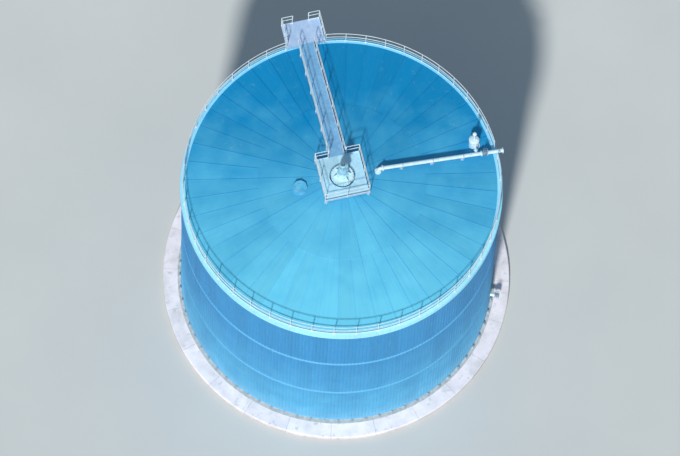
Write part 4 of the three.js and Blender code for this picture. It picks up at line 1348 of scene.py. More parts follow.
@dataclass
class Decks(Assembly):
    """Tread plates on the landing, walkway and platform, with the feet and gussets under them."""

    plate: float = 0.005
    gap: float = 0.006
    walkway_plates: int = 7
    landing_plates: int = 3
    platform_plates: int = 8
    platform_hole: float = 0.8
    leg: float = 0.06
    stations: int = 6
    bracket_x: float = 1.0
    bracket_foot: float = 14.3
    bracket_face: float = EDGE_RADIUS + 0.1003
    feet: Form = field(init=False, default_factory=Form)
    treads: Form = field(init=False, default_factory=Form)
    chance: random.Random = field(init=False, default_factory=lambda: random.Random(53))

    def build(self) -> None:
        """Build the plates of each deck, then the feet and the bolts."""
        for deck, lay in (("walkway", self.walkway), ("platform", self.platform), ("landing", self.landing)):
            self.treads = Form()
            lay()
            self.treads.piece(f"{deck}_tread_plates", "galvanised_steel", self.stock.treads[deck])
        self.feet.piece("deck_feet_and_gussets", "galvanised_steel", self.stock.zinc)
        self.bolts.piece("deck_bolts", "galvanised_steel", self.stock.bolt)

    def screw(self, place: Matrix) -> None:
        """Add one of the flat screws that hold the plates."""
        self.bolts.column(place, [(0.016, 0), (0.013, 0.004)], 8)

    def fixed_plate(self, place: Matrix, length: float, width: float) -> None:
        """Add one rectangular tread plate with a screw near each corner.

        Args:
            place: The middle of the plate's underside.
            length: The plate's share of the deck along the place's X.
            width: Its share along Y.
        """
        self.treads.tone = self.chance.uniform(-1, 1)
        self.treads.box(shifted(place, z=self.plate / 2), (length - self.gap, width - self.gap, self.plate))
        for x, y in product(BOTH, BOTH):
            self.screw(shifted(place, x * (length / 2 - 0.06), y * (width / 2 - 0.06), self.plate))

    def roof_foot(self, x: float, y: float) -> None:
        """Add the bolted plate under a leg that stands on the roof."""
        self.feet.box(shifted(on_roof(x, y), z=0.020), (0.17, 0.17, 0.030))
        self.bolts.bolt_grid(shifted(on_roof(x, y), z=0.035), (-0.062, 0.062), (-0.062, 0.062), 0.014)

    def walkway(self) -> None:
        """Add the walkway's sloping plates and the feet of its legs."""
        near, far = low("walkway").y, high("walkway").y
        share = (far - near - 0.008) / self.walkway_plates
        normal = Vector((0, math.sin(ROOF_SLOPE), math.cos(ROOF_SLOPE)))
        for index in range(self.walkway_plates):
            y = near + 0.004 + share * (index + 0.5)
            self.fixed_plate(aimed((0, y, deck_at(y)), normal, NORTH), share / math.cos(ROOF_SLOPE), 0.90)
        x, spacing = high("walkway").x - self.leg / 2, (far - near) / self.stations
        for index, sign in product(range(self.stations), BOTH):
            self.roof_foot(sign * x, near + spacing * (index + 0.5))

    def platform(self) -> None:
        """Add the platform's plates, the toe ring round the mixer and the feet."""
        half, deck, hole = high("platform").x, high("platform").z, self.platform_hole
        for index in range(self.platform_plates):
            self.treads.tone = self.chance.uniform(-1, 1)
            start, end = (FULL_TURN * (index + step) / self.platform_plates for step in (0, 1))
            inner = [polar(hole + 0.012, start + (end - start) * step / 6).xy for step in range(7)]
            outer = [polar((half - self.gap / 2) / max(abs(math.cos(angle)), abs(math.sin(angle))), angle).xy
                     for angle in (end, start)]
            centre = sum([*inner, *outer], Vector((0, 0))) / 9
            outline = [centre + (corner - centre) * (1 - self.gap) for corner in (*inner, *outer)]
            self.treads.plate(aimed((0, 0, deck), UP, EAST), outline, self.plate)
            for corner in (0, 6, 7, 8):
                spot = centre + (outline[corner] - centre) * 0.86
                self.screw(aimed((*spot, deck + self.plate)))
        self.treads.ring(aimed((0, 0, deck)), square(hole, hole + 0.006, -0.04, 0.09), 64)
        for x, y in product((0.04 - half, half - 0.04), repeat=2):
            self.roof_foot(x, y)

    def landing(self) -> None:
        """Add the landing's plates, the wall pads of its brackets and their gussets."""
        inner, outer, deck = low("landing").y, high("landing").y, high("landing").z
        width = 2 * high("landing").x / self.landing_plates
        for index in range(self.landing_plates):
            place = aimed(((index - 1) * width, (inner + outer) / 2, deck), UP, EAST)
            self.fixed_plate(place, width, outer - inner)
        near, top = self.bracket_face, deck - 0.19
        for x in (-self.bracket_x, self.bracket_x):
            for level in (self.bracket_foot + 0.1, WALL_TOP - 0.42):
                for side, rise in product((-0.068, 0.068), (-0.065, 0.065)):
                    self.bolts.bolt(aimed((x + side, near, level + rise), NORTH), 0.02)
                self.feet.box(aimed((x, RADIUS + 0.03, level), UP, EAST), (0.27, 0.03, 0.27))
            for sign in BOTH:
                place = aimed((x + sign * 0.04 - 0.005, 0, 0), EAST, NORTH)
                self.feet.plate(place, [(near, top), (near + 0.26, top), (near, top - 0.26)], 0.01)
            self.roof_foot(x, inner + 0.04)


@dataclass
class Mixer(Assembly):
    """The top-entry mixer: neck through the roof, bearing stand, gearbox and upright motor."""

    neck_radius: float = 0.60
    pad_radius: float = high("mixer_neck").x
    flange_radius: float = high("mixer_stand").x
    neck_top: float = high("mixer_neck").z
    stand_top: float = high("mixer_stand").z
    gearbox_top: float = high("mixer_gearbox").z
    motor_top: float = high("mixer_motor").z

    def build(self) -> None:
        """Build the mixer from the roof up."""
        self.neck()
        self.stand()
        self.gearbox()
        self.motor()
        self.bolts.piece("mixer_bolts", "galvanised_steel", self.stock.bolt)
        self.dark.piece("mixer_vent_shade_and_glands", "valve_paint", self.stock.bore)
        self.glass.piece("gearbox_sight_glass", "valve_paint", self.stock.glass)

    def neck(self) -> None:
        """Build the neck with its sloping pad, flange and gussets."""
        form = Form()
        radius, pad, wide = self.neck_radius, self.pad_radius, self.flange_radius
        foot, under = roof_at(radius) + 0.022, self.neck_top - FLANGE
        form.column(HERE, [(radius, WALL_TOP + 1.3), (radius, under), (wide, under),
                           (wide, self.neck_top - 0.002)], 72)
        form.ring(HERE, [(radius - 0.01, roof_at(radius)), (pad, roof_at(pad) + 0.001),
                         (pad, roof_at(pad) + 0.020), (radius - 0.01, foot)], 72)
        form.hoop(aimed((0, 0, foot)), radius + 0.004, 0.012, 72)
        for index in range(16):
            angle = FULL_TURN * index / 16
            form.gusset(angle, -0.006, [(radius - 0.005, under), (wide - 0.03, under),
                                        (radius + 0.02, under - 0.15), (radius - 0.005, under - 0.15)], 0.012)
            self.bolts.bolt(shifted(on_roof(*polar(pad - 0.05, angle + FACET).xy), z=0.020), 0.016)
        self.bolts.bolt_circle(aimed((0, 0, under), -UP), wide - 0.045, 24, 0.022)
        form.piece("mixer_neck_flanged", "mixer_paint", self.stock.machine, ["mixer_neck"])

    def stand(self) -> None:
        """Build the bearing stand: foot flange, ribbed cone and top flange."""
        form = Form()
        wide, foot, under = self.flange_radius, self.neck_top + FLANGE, self.stand_top - FLANGE
        form.column(HERE, [(wide - 0.002, self.neck_top + 0.001), (wide, self.neck_top + 0.004),
                           (wide, foot - 0.004), (wide - 0.004, foot), (0.375, foot), (0.36, foot + 0.02),
                           (0.282, under - 0.015), (0.295, under), (0.33, under),
                           (0.33, self.stand_top - 0.001)], 72)
        for index in range(6):
            angle, between = FULL_TURN * index / 6, FULL_TURN * (index + 0.5) / 6
            form.gusset(angle, -0.012, [(0.30, foot - 0.002), (0.56, foot - 0.002), (0.56, foot + 0.06),
                                        (0.35, foot + 0.32), (0.27, foot + 0.32)], 0.024)
            cover = aimed(polar(0.335, between, foot + 0.22), polar(1, between, 0.14))
            form.column(cover, [(0.085, -0.02), (0.085, 0.012), (0.078, 0.018)], 24)
            self.bolts.bolt_circle(shifted(cover, z=0.018), 0.066, 6, 0.009)
        self.bolts.bolt_circle(aimed((0, 0, foot)), wide - 0.045, 24, 0.022)
        self.bolts.bolt_circle(aimed((0, 0, under), -UP), 0.308, 12, 0.014)
        form.piece("mixer_bearing_stand", "mixer_paint", self.stock.machine, ["mixer_stand"])

    def gearbox(self) -> None:
        """Build the gearbox: finned body, bolted waist, side cover, breather and oil gauge."""
        form = Form()
        base, top = self.stand_top, self.gearbox_top
        rise = top - base
        form.column(shifted(HERE, z=base), [
            (0.33, 0.001), (0.33, FLANGE - 0.003), (0.326, FLANGE), (0.292, 0.05), (0.278, 0.07),
            (0.278, 0.19), (0.312, 0.20), (0.312, 0.228), (0.278, 0.238), (0.278, rise - 0.13),
            (0.265, rise - 0.11), (0.232, rise - 0.065), (0.232, rise - 0.045), (0.26, rise - 0.03),
            (0.26, rise - 0.001)], 48)
        for index in range(32):
            angle = FULL_TURN * index / 32
            # The side cover takes the place of the fins on its side
            if abs(math.remainder(angle, FULL_TURN)) < 0.42:
                continue
            for start, end in ((base + 0.075, base + 0.185), (base + 0.243, top - 0.14)):
                form.bar(polar(0.290, angle, start), polar(0.290, angle, end), 0.007, 0.026,
                         polar(1, angle + QUARTER))
        form.box(aimed((0.17, 0, base + 0.215), UP, EAST), (0.328, 0.168, 0.158))
        lid = aimed((0.334, 0, base + 0.215), EAST, UP)
        form.box(lid, (0.170, 0.180, 0.012))
        self.bolts.bolt_grid(shifted(lid, z=0.005), (-0.07, 0.07), (-0.074, 0, 0.074), 0.009)
        gauge, plug = (aimed(polar(0.30, angle, base + level), polar(1, angle)) for angle, level in (
            (math.radians(205), 0.13), (math.radians(290), 0.10)))
        form.column(gauge, [(0.038, -0.03), (0.038, 0.006), (0.032, 0.012)], 20)
        self.glass.column(gauge, [(0.025, 0.004), (0.025, 0.014)], 20)
        form.column(aimed(polar(0.20, math.radians(120), top - 0.09)), [
            (0.012, 0), (0.012, 0.05), (0.026, 0.055), (0.026, 0.085), (0.018, 0.092)], 12)
        self.bolts.bolt(shifted(plug, z=-0.018), 0.022)
        self.bolts.bolt_circle(aimed((0, 0, base + 0.228)), 0.297, 20, 0.009)
        self.bolts.bolt_circle(aimed((0, 0, base + FLANGE)), 0.312, 12, 0.012)
        form.piece("mixer_gearbox_finned", "mixer_paint", self.stock.drive, ["mixer_gearbox"])

    def motor(self) -> None:
        """Build the motor: flange, finned barrel, terminal box, fan cowl and lifting eyes."""
        form = Form()
        base, top = self.gearbox_top, self.motor_top
        cowl = top - 0.18
        rise = cowl - base
        form.column(shifted(HERE, z=base), [
            (0.26, 0.001), (0.26, 0.027), (0.256, 0.03), (0.205, 0.045), (0.200, 0.06), (0.192, 0.075),
            (0.192, rise - 0.03), (0.205, rise - 0.02), (0.205, rise + 0.001)], 48)
        form.column(shifted(HERE, z=cowl), [
            (0.221, 0), (0.225, 0.004), (0.225, 0.125), (0.214, 0.145), (0.178, 0.168)], 48)
        for index in range(36):
            angle = FULL_TURN * index / 36
            form.bar(polar(0.202, angle, base + 0.08), polar(0.202, angle, cowl - 0.035), 0.005, 0.026,
                     polar(1, angle + QUARTER))
            # Dark strips over the cowl's vent slots are painted shade
            self.dark.bar(polar(0.2252, angle, cowl + 0.025), polar(0.2252, angle, cowl + 0.085),
                          0.010, 0.003, polar(1, angle))
        # A dark disc under the cowl's grille is painted shade inside the cowl
        self.dark.column(HERE, [(0.170, top - 0.014), (0.170, top - 0.010)], 40)
        for radius in (0.035, 0.07, 0.105, 0.14, 0.170):
            form.hoop(aimed((0, 0, top - 0.005)), radius, 0.004, 40, 6)
        for index in range(8):
            form.bar((0, 0, top - 0.006), polar(0.172, FULL_TURN * index / 8, top - 0.006), 0.006, 0.006)
        form.box(aimed((0.245, 0, base + 0.31), UP, EAST), (0.140, 0.184, 0.168))
        lid = aimed((0.320, 0, base + 0.31), EAST, UP)
        form.box(lid, (0.180, 0.200, 0.016))
        self.bolts.bolt_grid(shifted(lid, z=0.006), (-0.074, 0.074), (-0.084, 0.084), 0.007)
        for y in (-0.045, 0.045):
            self.dark.column(aimed((0.25, y, base + 0.226), -UP), [
                (0.020, 0), (0.020, 0.018), (0.015, 0.022), (0.015, 0.034), (0.011, 0.040)], 6)
        for angle in (QUARTER, 3 * QUARTER):
            form.hoop(aimed(polar(0.228, angle, cowl - 0.055), polar(1, angle + QUARTER)), 0.026, 0.007, 20)
        self.bolts.bolt_circle(aimed((0, 0, base + 0.03)), 0.238, 8, 0.014)
        form.piece("mixer_motor_finned", "mixer_paint", self.stock.drive, ["mixer_motor"])


@dataclass
class GateValve:
    """A flanged gate valve with a rising spindle and a handwheel.

    The place has its X along the pipe, from the first flange's face, and its Z up the spindle.
    """

    place: Matrix
    length: float
    pipe: float
    flange: float
    bolted: int = 8

    def build(self, body: Form, bolts: Form, dark: Form, mouth: bool) -> None:
        """Add the valve to shared forms.

        Args:
            body: Takes the casting, the yoke and the wheel.
            bolts: Takes the bolts and the spindle.
            dark: Takes the dark disc inside an open end, painted shade in the bore.
            mouth: Whether the far end is open.
        """
        pipe, flange, length = self.pipe, self.flange, self.length
        middle, end = shifted(self.place, length / 2), along(self.place, length)
        wheel, rim, bore = 3.4 * pipe, 0.3 * FLANGE, 0.8 * pipe
        body.column(along(self.place, 0.001), [
            *disc(flange, 0, FLANGE), (pipe + rim, FLANGE), (pipe, FLANGE + rim), (pipe, 0.28 * length),
            (1.18 * pipe, 0.42 * length), (1.18 * pipe, 0.58 * length), (pipe, 0.72 * length),
            (pipe, length - FLANGE - rim), (pipe + rim, length - FLANGE)], 32)
        if mouth:
            body.ring(end, [(bore, -FLANGE), (flange, -FLANGE), (flange, -EASE), (flange - EASE, 0),
                            (bore, 0)], 32)
            # A dark disc just inside the open end is painted shade in the bore
            dark.column(end, [(bore + MM, -FLANGE - 0.01), (bore + MM, -FLANGE + 0.002)], 32)
        else:
            body.column(end, [(flange, -FLANGE), (flange, -EASE), (flange - EASE, -MM)], 32)
        body.column(middle, [(pipe * radius, pipe * height) for radius, height in (
            (0.86, 0), (0.86, 1.30), (1.05, 1.36), (1.05, 1.62), (0.72, 1.70), (0.5, 1.95))], 24)
        bolts.bolt_circle(shifted(middle, z=1.62 * pipe), 0.9 * pipe, 8, 0.012)
        for sign in BOTH:
            foot, top = (middle @ Vector((0, sign * y * pipe, z * pipe))
                         for y, z in ((0.42, 1.7), (0.22, 2.9)))
            body.bar(foot, top, 0.035, 0.016, self.place.col[1].xyz)
        body.column(shifted(middle, z=2.85 * pipe), [(0.3 * pipe, 0), (0.3 * pipe, 0.2 * pipe)], 16)
        bolts.column(middle, [(0.016, 1.8 * pipe), (0.016, wheel + 0.036)], 10)
        hub = shifted(middle, z=wheel)
        bolts.column(hub, [(0.024, 0.016), (0.024, 0.034)], 6)
        body.hoop(hub, 1.25 * pipe, 0.013, 36, 10)
        body.column(shifted(hub, z=-0.014), [(0.032, 0), (0.032, 0.03)], 16)
        for index in range(5):
            spoke = turned(hub, index / 5)
            body.tube([spoke @ Vector(point) for point in (
                (0.02, 0, 0), (0.6 * pipe, 0, -0.014), (1.24 * pipe, 0, 0))], 0.008, 6)
        for x, back in ((FLANGE + 0.001, False), (length - FLANGE, True)):
            bolts.bolt_circle(along(self.place, x, back), (pipe + flange) / 2 + 0.012, self.bolted, 0.014)


@dataclass
class GasLine(Assembly):
    """The gas line down the roof: take-off, jacketed pipe on stands, valve, outlet and relief pot."""

    pipe: float = 0.12
    flange: float = 0.19
    takeoff_x: float = 2.3
    bend: float = 0.25
    bend_steps: int = 12
    above_roof: float = 0.45
    run: float = 6.5
    sleeve: float = 0.465
    valve: float = 0.35
    outlet: float = 1.05
    stands: tuple[float, ...] = (1.3, 3.3, 5.3)
    pot_x: float = 8.7
    pot_y: float = 0.8
    pot_radius: float = 0.3
    turn: float = QUARTER + ROOF_SLOPE
    line: Matrix = field(init=False)

    def __post_init__(self) -> None:
        """Work out the place where the straight pipe starts, its X down the slope."""
        x = self.takeoff_x + self.bend * (1 - math.cos(self.turn))
        start = Matrix.Translation((x, 0, roof_at(x) + self.above_roof))
        self.line = start @ Matrix.Rotation(ROOF_SLOPE, 4, "Y")

    def build(self) -> None:
        """Build the line from the roof's middle outwards."""
        casting = Form()
        self.takeoff()
        self.pipe_run()
        GateValve(shifted(self.line, self.run), self.valve, self.pipe, self.flange).build(
            casting, self.bolts, self.dark, mouth=False)
        casting.piece("gas_gate_valve", "valve_paint", self.stock.casting, ["gas_valve"])
        self.outlet_spool()
        self.relief()
        self.stand_posts()
        self.bolts.piece("gas_line_bolts", "galvanised_steel", self.stock.bolt)
        self.dark.piece("gas_outlet_bore_painted_shade", "valve_paint", self.stock.bore)
        self.glass.piece("relief_pot_gauge", "valve_paint", self.stock.glass)

    def flange_bolts(self, place: Matrix) -> None:
        """Add the bolts of one of the line's flanges."""
        self.bolts.bolt_circle(place, self.flange - 0.028, 12, 0.012)

    def takeoff(self) -> None:
        """Build the roof pad, riser, flange pair and the segmented bend."""
        form = Form()
        x, pipe, pad, foot = self.takeoff_x, self.pipe, 1.8 * self.pipe, roof_at(self.takeoff_x)
        start = self.line.translation.z - self.bend * math.sin(self.turn)
        form.column(aimed((x, 0, 0)), [
            (pad, foot - 0.05), (pad, foot + 0.044), (pad - 0.006, foot + 0.05), (pipe + 0.012, foot + 0.05),
            (pipe, foot + 0.062), (pipe, start - 2 * FLANGE - 0.002)], 40)
        for level in (start - 2 * FLANGE, start - FLANGE + 0.002):
            form.column(aimed((x, 0, level)), disc(self.flange, 0, FLANGE), 40)
        self.flange_bolts(aimed((x, 0, start)))
        self.bolts.bolt_circle(aimed((x, 0, foot + 0.05)), pad - 0.03, 12, 0.012)
        turns = [self.turn * step / self.bend_steps for step in range(self.bend_steps + 1)]
        path = [Vector((x + self.bend * (1 - math.cos(turn)), 0, start + self.bend * math.sin(turn)))
                for turn in turns]
        form.tube(path, pipe, 32)
        for step in range(2, self.bend_steps, 2):
            ahead = (path[step + 1] - path[step - 1]).normalized()
            form.ring(aimed(path[step], ahead), square(pipe - 0.004, pipe + 0.003, -0.008, 0.008), 32)
        form.column(along(self.line, 0), disc(self.flange, -FLANGE - 0.001, -0.001), 40)
        form.piece("gas_takeoff_bend", "pipe_jacket", self.stock.jacket, ["gas_takeoff"])

    def pipe_run(self) -> None:
        """Build the straight jacketed pipe with its bands, flanges and lap."""
        form = Form()
        profile, x = [(self.pipe, FLANGE)], FLANGE + 0.12
        while x < self.run - 0.2:
            profile += band(self.pipe, x, x + 0.029)
            x += self.sleeve
        profile.append((self.pipe, self.run - FLANGE))
        form.column(along(self.line, 0), profile, 36)
        for x in (0.0005, self.run - FLANGE - 0.0005):
            form.column(along(self.line, 0), disc(self.flange, x, x + FLANGE), 40)
        for x, back in ((FLANGE, False), (-FLANGE, True), (self.run - FLANGE, True)):
            self.flange_bolts(along(self.line, x, back))
        # A lap of the jacket runs along the top, clear of the rain
        ends = [self.line @ Vector((x, 0.075, 0.0955)) for x in (FLANGE + 0.02, self.run - FLANGE - 0.02)]
        form.bar(*ends, 0.03, 0.003, self.line.to_3x3() @ Vector((0, 0.62, 0.78)))
        form.piece("gas_pipe_jacket", "pipe_jacket", self.stock.jacket, ["gas_pipe"])

    def stand_posts(self) -> None:
        """Build the pipe's stands on the roof, each with a saddle and a strap."""
        form = Form()
        drop = self.above_roof * math.cos(ROOF_SLOPE)
        rise = drop - self.pipe
        for x in self.stands:
            foot = shifted(self.line, x, z=-drop)
            form.box(shifted(foot, z=rise / 2), (0.06, 0.06, rise + 0.01))
            form.box(shifted(foot, z=0.022), (0.20, 0.20, 0.032))
            form.box(shifted(foot, z=rise - 0.012), (0.14, 0.30, 0.014))
            for side in BOTH:
                # In this place X runs to the side and Y up
                web = shifted(foot, -0.004, side * 0.03) @ Matrix.Rotation(QUARTER, 4, "X")
                form.plate(web @ Matrix.Rotation(QUARTER, 4, "Y"),
                           [(0, 0.036), (side * 0.06, 0.036), (0, 0.12)], 0.008)
            self.bolts.bolt_grid(shifted(foot, z=0.038), (-0.075, 0.075), (-0.075, 0.075), 0.016)
            self.bolts.bolt_grid(shifted(foot, z=rise - 0.004), (0,), (-0.137, 0.137), 0.014)
            form.ring(along(self.line, x), square(self.pipe, self.pipe + 0.008, -0.035, 0.035), 36)
        form.piece("gas_pipe_stands", "galvanised_steel", self.stock.zinc)

    def outlet_spool(self) -> None:
        """Build the short pipe after the valve, open at its end."""
        form = Form()
        pipe, flange, bore, start = self.pipe, self.flange, 0.8 * self.pipe, self.run + self.valve
        end = start + self.outlet
        mouth = along(self.line, end)
        form.column(along(self.line, 0), [
            (pipe, start + FLANGE), *band(pipe, start + 0.3, start + 0.331),
            *band(pipe, end - 0.3, end - 0.269), (pipe, end - pipe - 0.004)], 36)
        form.ring(mouth, [(bore, -pipe - 0.006), (pipe, -pipe - 0.006), (pipe, -FLANGE), (flange, -FLANGE),
                          (flange, -EASE), (flange - EASE, 0), (bore, 0)], 40)
        # A dark disc just inside the open end is painted shade in the bore
        self.dark.column(mouth, [(bore + MM, -pipe - 0.004), (bore + MM, -pipe + 0.004)], 32)
        form.column(along(self.line, start), disc(flange, 0.0005, FLANGE + 0.0005), 40)
        self.flange_bolts(along(self.line, start + FLANGE))
        self.flange_bolts(along(self.line, end - FLANGE, True))
        form.piece("gas_outlet_spool", "pipe_jacket", self.stock.jacket, ["gas_outlet"])

    def relief(self) -> None:
        """Build the water-sealed relief pot with its branch, gauge, filling cap and hooded vent."""
        form = Form()
        radius, vent = self.pot_radius, 0.055
        spot = aimed((self.pot_x, self.pot_y, roof_at(math.hypot(self.pot_x, self.pot_y))), UP, EAST)
        form.column(spot, [(radius, -0.04), *band(radius, 0.14, 0.171, 0.004),
                           *band(radius, 0.60, 0.631, 0.004), (radius, 0.86), (radius, 0.875)], 48)
        form.column(spot, [(radius + 0.028, 0.852), (radius + 0.03, 0.855), (radius + 0.03, 0.898),
                           (radius + 0.028, 0.901)], 48)
        form.column(spot, [(share * radius, height) for share, height in (
            (1, 0.90), (0.97, 0.93), (0.86, 0.965), (0.66, 0.989), (0.4, 0.997), (0.2, 1.0))], 48)
        self.bolts.bolt_circle(shifted(spot, z=0.901), radius + 0.015, 24, 0.010)
        form.ring(spot, [(radius - 0.01, -0.06), (radius + 0.09, -0.03), (radius + 0.09, 0.025),
                         (radius - 0.01, 0.03)], 48)
        self.bolts.bolt_circle(shifted(spot, z=0.025), radius + 0.055, 12, 0.014)
        arm = aimed((self.pot_x, 0, roof_at(self.pot_x) + self.above_roof), NORTH)
        form.column(arm, [(0.08, 0.10), (0.08, self.pot_y - 0.9 * radius)], 24)
        for start in (0.24, 0.262):
            form.column(arm, [(0.125, start), (0.125, start + 0.019)], 28)
        self.bolts.bolt_circle(shifted(arm, z=0.281), 0.103, 8, 0.012)
        form.column(spot, [(0.095, 0.988), (0.095, 1.014), (vent + 0.006, 1.016), (vent, 1.03),
                           (vent, 1.88)], 24)
        hood = shifted(spot, z=1.9)
        form.ring(hood, [(0.124, -0.06), (0.13, -0.06), (0.13, -0.045), (vent + 0.012, 0.032), (0.02, 0.0395),
                         (0.02, 0.030), (vent, 0.022), (0.124, -0.048)], 28)
        form.column(hood, [(0.022, 0.028), (0.022, 0.0395)], 12)
        for index in range(3):
            stay = turned(hood, index / 3)
            form.bar(stay @ Vector((vent - 0.004, 0, -0.03)), stay @ Vector((0.12, 0, -0.045)), 0.004, 0.02)
        self.gauge(form, spot)
        form.column(shifted(spot, 0.14, -0.08, 0.97), [
            (0.032, 0), (0.032, 0.05), (0.04, 0.052), (0.04, 0.075), (0.034, 0.08)], 16)
        form.piece("relief_pot_vessel", "pipe_jacket", self.stock.jacket, ["relief_pot"])

    def gauge(self, form: Form, spot: Matrix) -> None:
        """Add the pot's level gauge: two cocks with a glass tube between them.

        Args:
            form: Takes the cocks.
            spot: The place of the pot's foot.
        """
        out = polar(1, math.radians(-60))
        for level in (0.26, 0.54):
            cock = aimed(spot @ (out * (self.pot_radius - 0.01) + UP * level), out)
            form.column(cock, [(0.016, 0), (0.016, 0.055)], 12)
            form.box(shifted(cock, z=0.062), (0.034, 0.034, 0.034))
        tube = aimed(spot @ (out * (self.pot_radius + 0.052) + UP * 0.27))
        self.glass.column(tube, [(0.010, 0), (0.010, 0.26)], 12)


@dataclass
class Hatch(Assembly):
    """The round hatch on the roof, its lid held by swing bolts."""

    x: float = -2.7
    radius: float = 0.35
    height: float = 0.26
    lid: float = 0.42
    clamps: int = 8

    def build(self) -> None:
        """Build the curb, the lid with its handles and hinge, and the swing bolts."""
        body, seal = Form(), Form()
        radius, lid, pad = self.radius, self.lid, 1.35 * self.radius
        top, seam = self.height, self.height - FLANGE
        spot = aimed((self.x, 0, roof_at(abs(self.x))), UP, EAST)
        body.column(spot, [
            (pad, -0.08), (pad, 0.044), (pad - 0.006, 0.05), (radius + 0.01, 0.05), (radius, 0.06),
            (radius, seam - FLANGE - 0.002), (lid - 0.006, seam - FLANGE), (lid, seam - FLANGE + 0.004),
            (lid, seam - 0.004)], 56)
        seal.column(spot, [(lid - 0.012, seam - 0.005), (lid - 0.012, seam + 0.004)], 56)
        body.column(spot, [
            (lid - 0.002, seam + 0.003), (lid, seam + 0.006), (lid, top - 0.008), (lid - 0.03, top - 0.002),
            (lid - 0.05, top - 0.002), (lid - 0.07, top - 0.012), (0.10, top - 0.001)], 56)
        self.bolts.bolt_circle(shifted(spot, z=0.05), pad - 0.045, 16, 0.014)
        for index in range(self.clamps):
            clamp = turned(spot, (index + 0.5) / self.clamps)
            body.box(shifted(clamp, lid - 0.004, 0, seam), (0.05, 0.055, 2 * FLANGE + 0.004))
            self.bolts.column(shifted(clamp, lid + 0.004, 0, seam - FLANGE - 0.02),
                              [(0.010, 0), (0.010, 2 * FLANGE + 0.062)], 8)
            self.bolts.bolt(shifted(clamp, lid + 0.004, 0, top + 0.003), 0.018)
        for side in BOTH:
            handle = [spot @ Vector((x, side * 0.2, top + z)) for x, z in (
                (0.06, -0.012), (0.06, 0.017), (-0.10, 0.017), (-0.10, -0.012))]
            body.tube(rounded(handle, 0.02), 0.007, 8)
        hinge = shifted(spot, -lid, 0, top - 0.02)
        for side in BOTH:
            body.box(shifted(hinge, y=side * 0.046), (0.112, 0.022, 0.076))
        body.box(shifted(hinge, 0.01, 0, 0.006), (0.092, 0.062, 0.05))
        self.bolts.column(shifted(hinge @ Matrix.Rotation(QUARTER, 4, "X"), -0.03, 0, -0.07),
                          [(0.014, 0), (0.014, 0.14)], 12)
        body.piece("roof_hatch_lid_and_curb", "roof_sheet", self.stock.hatch, ["roof_hatch"])
        self.bolts.piece("hatch_bolts", "galvanised_steel", self.stock.bolt)
        seal.piece("hatch_gasket", "valve_paint", self.stock.rubber)


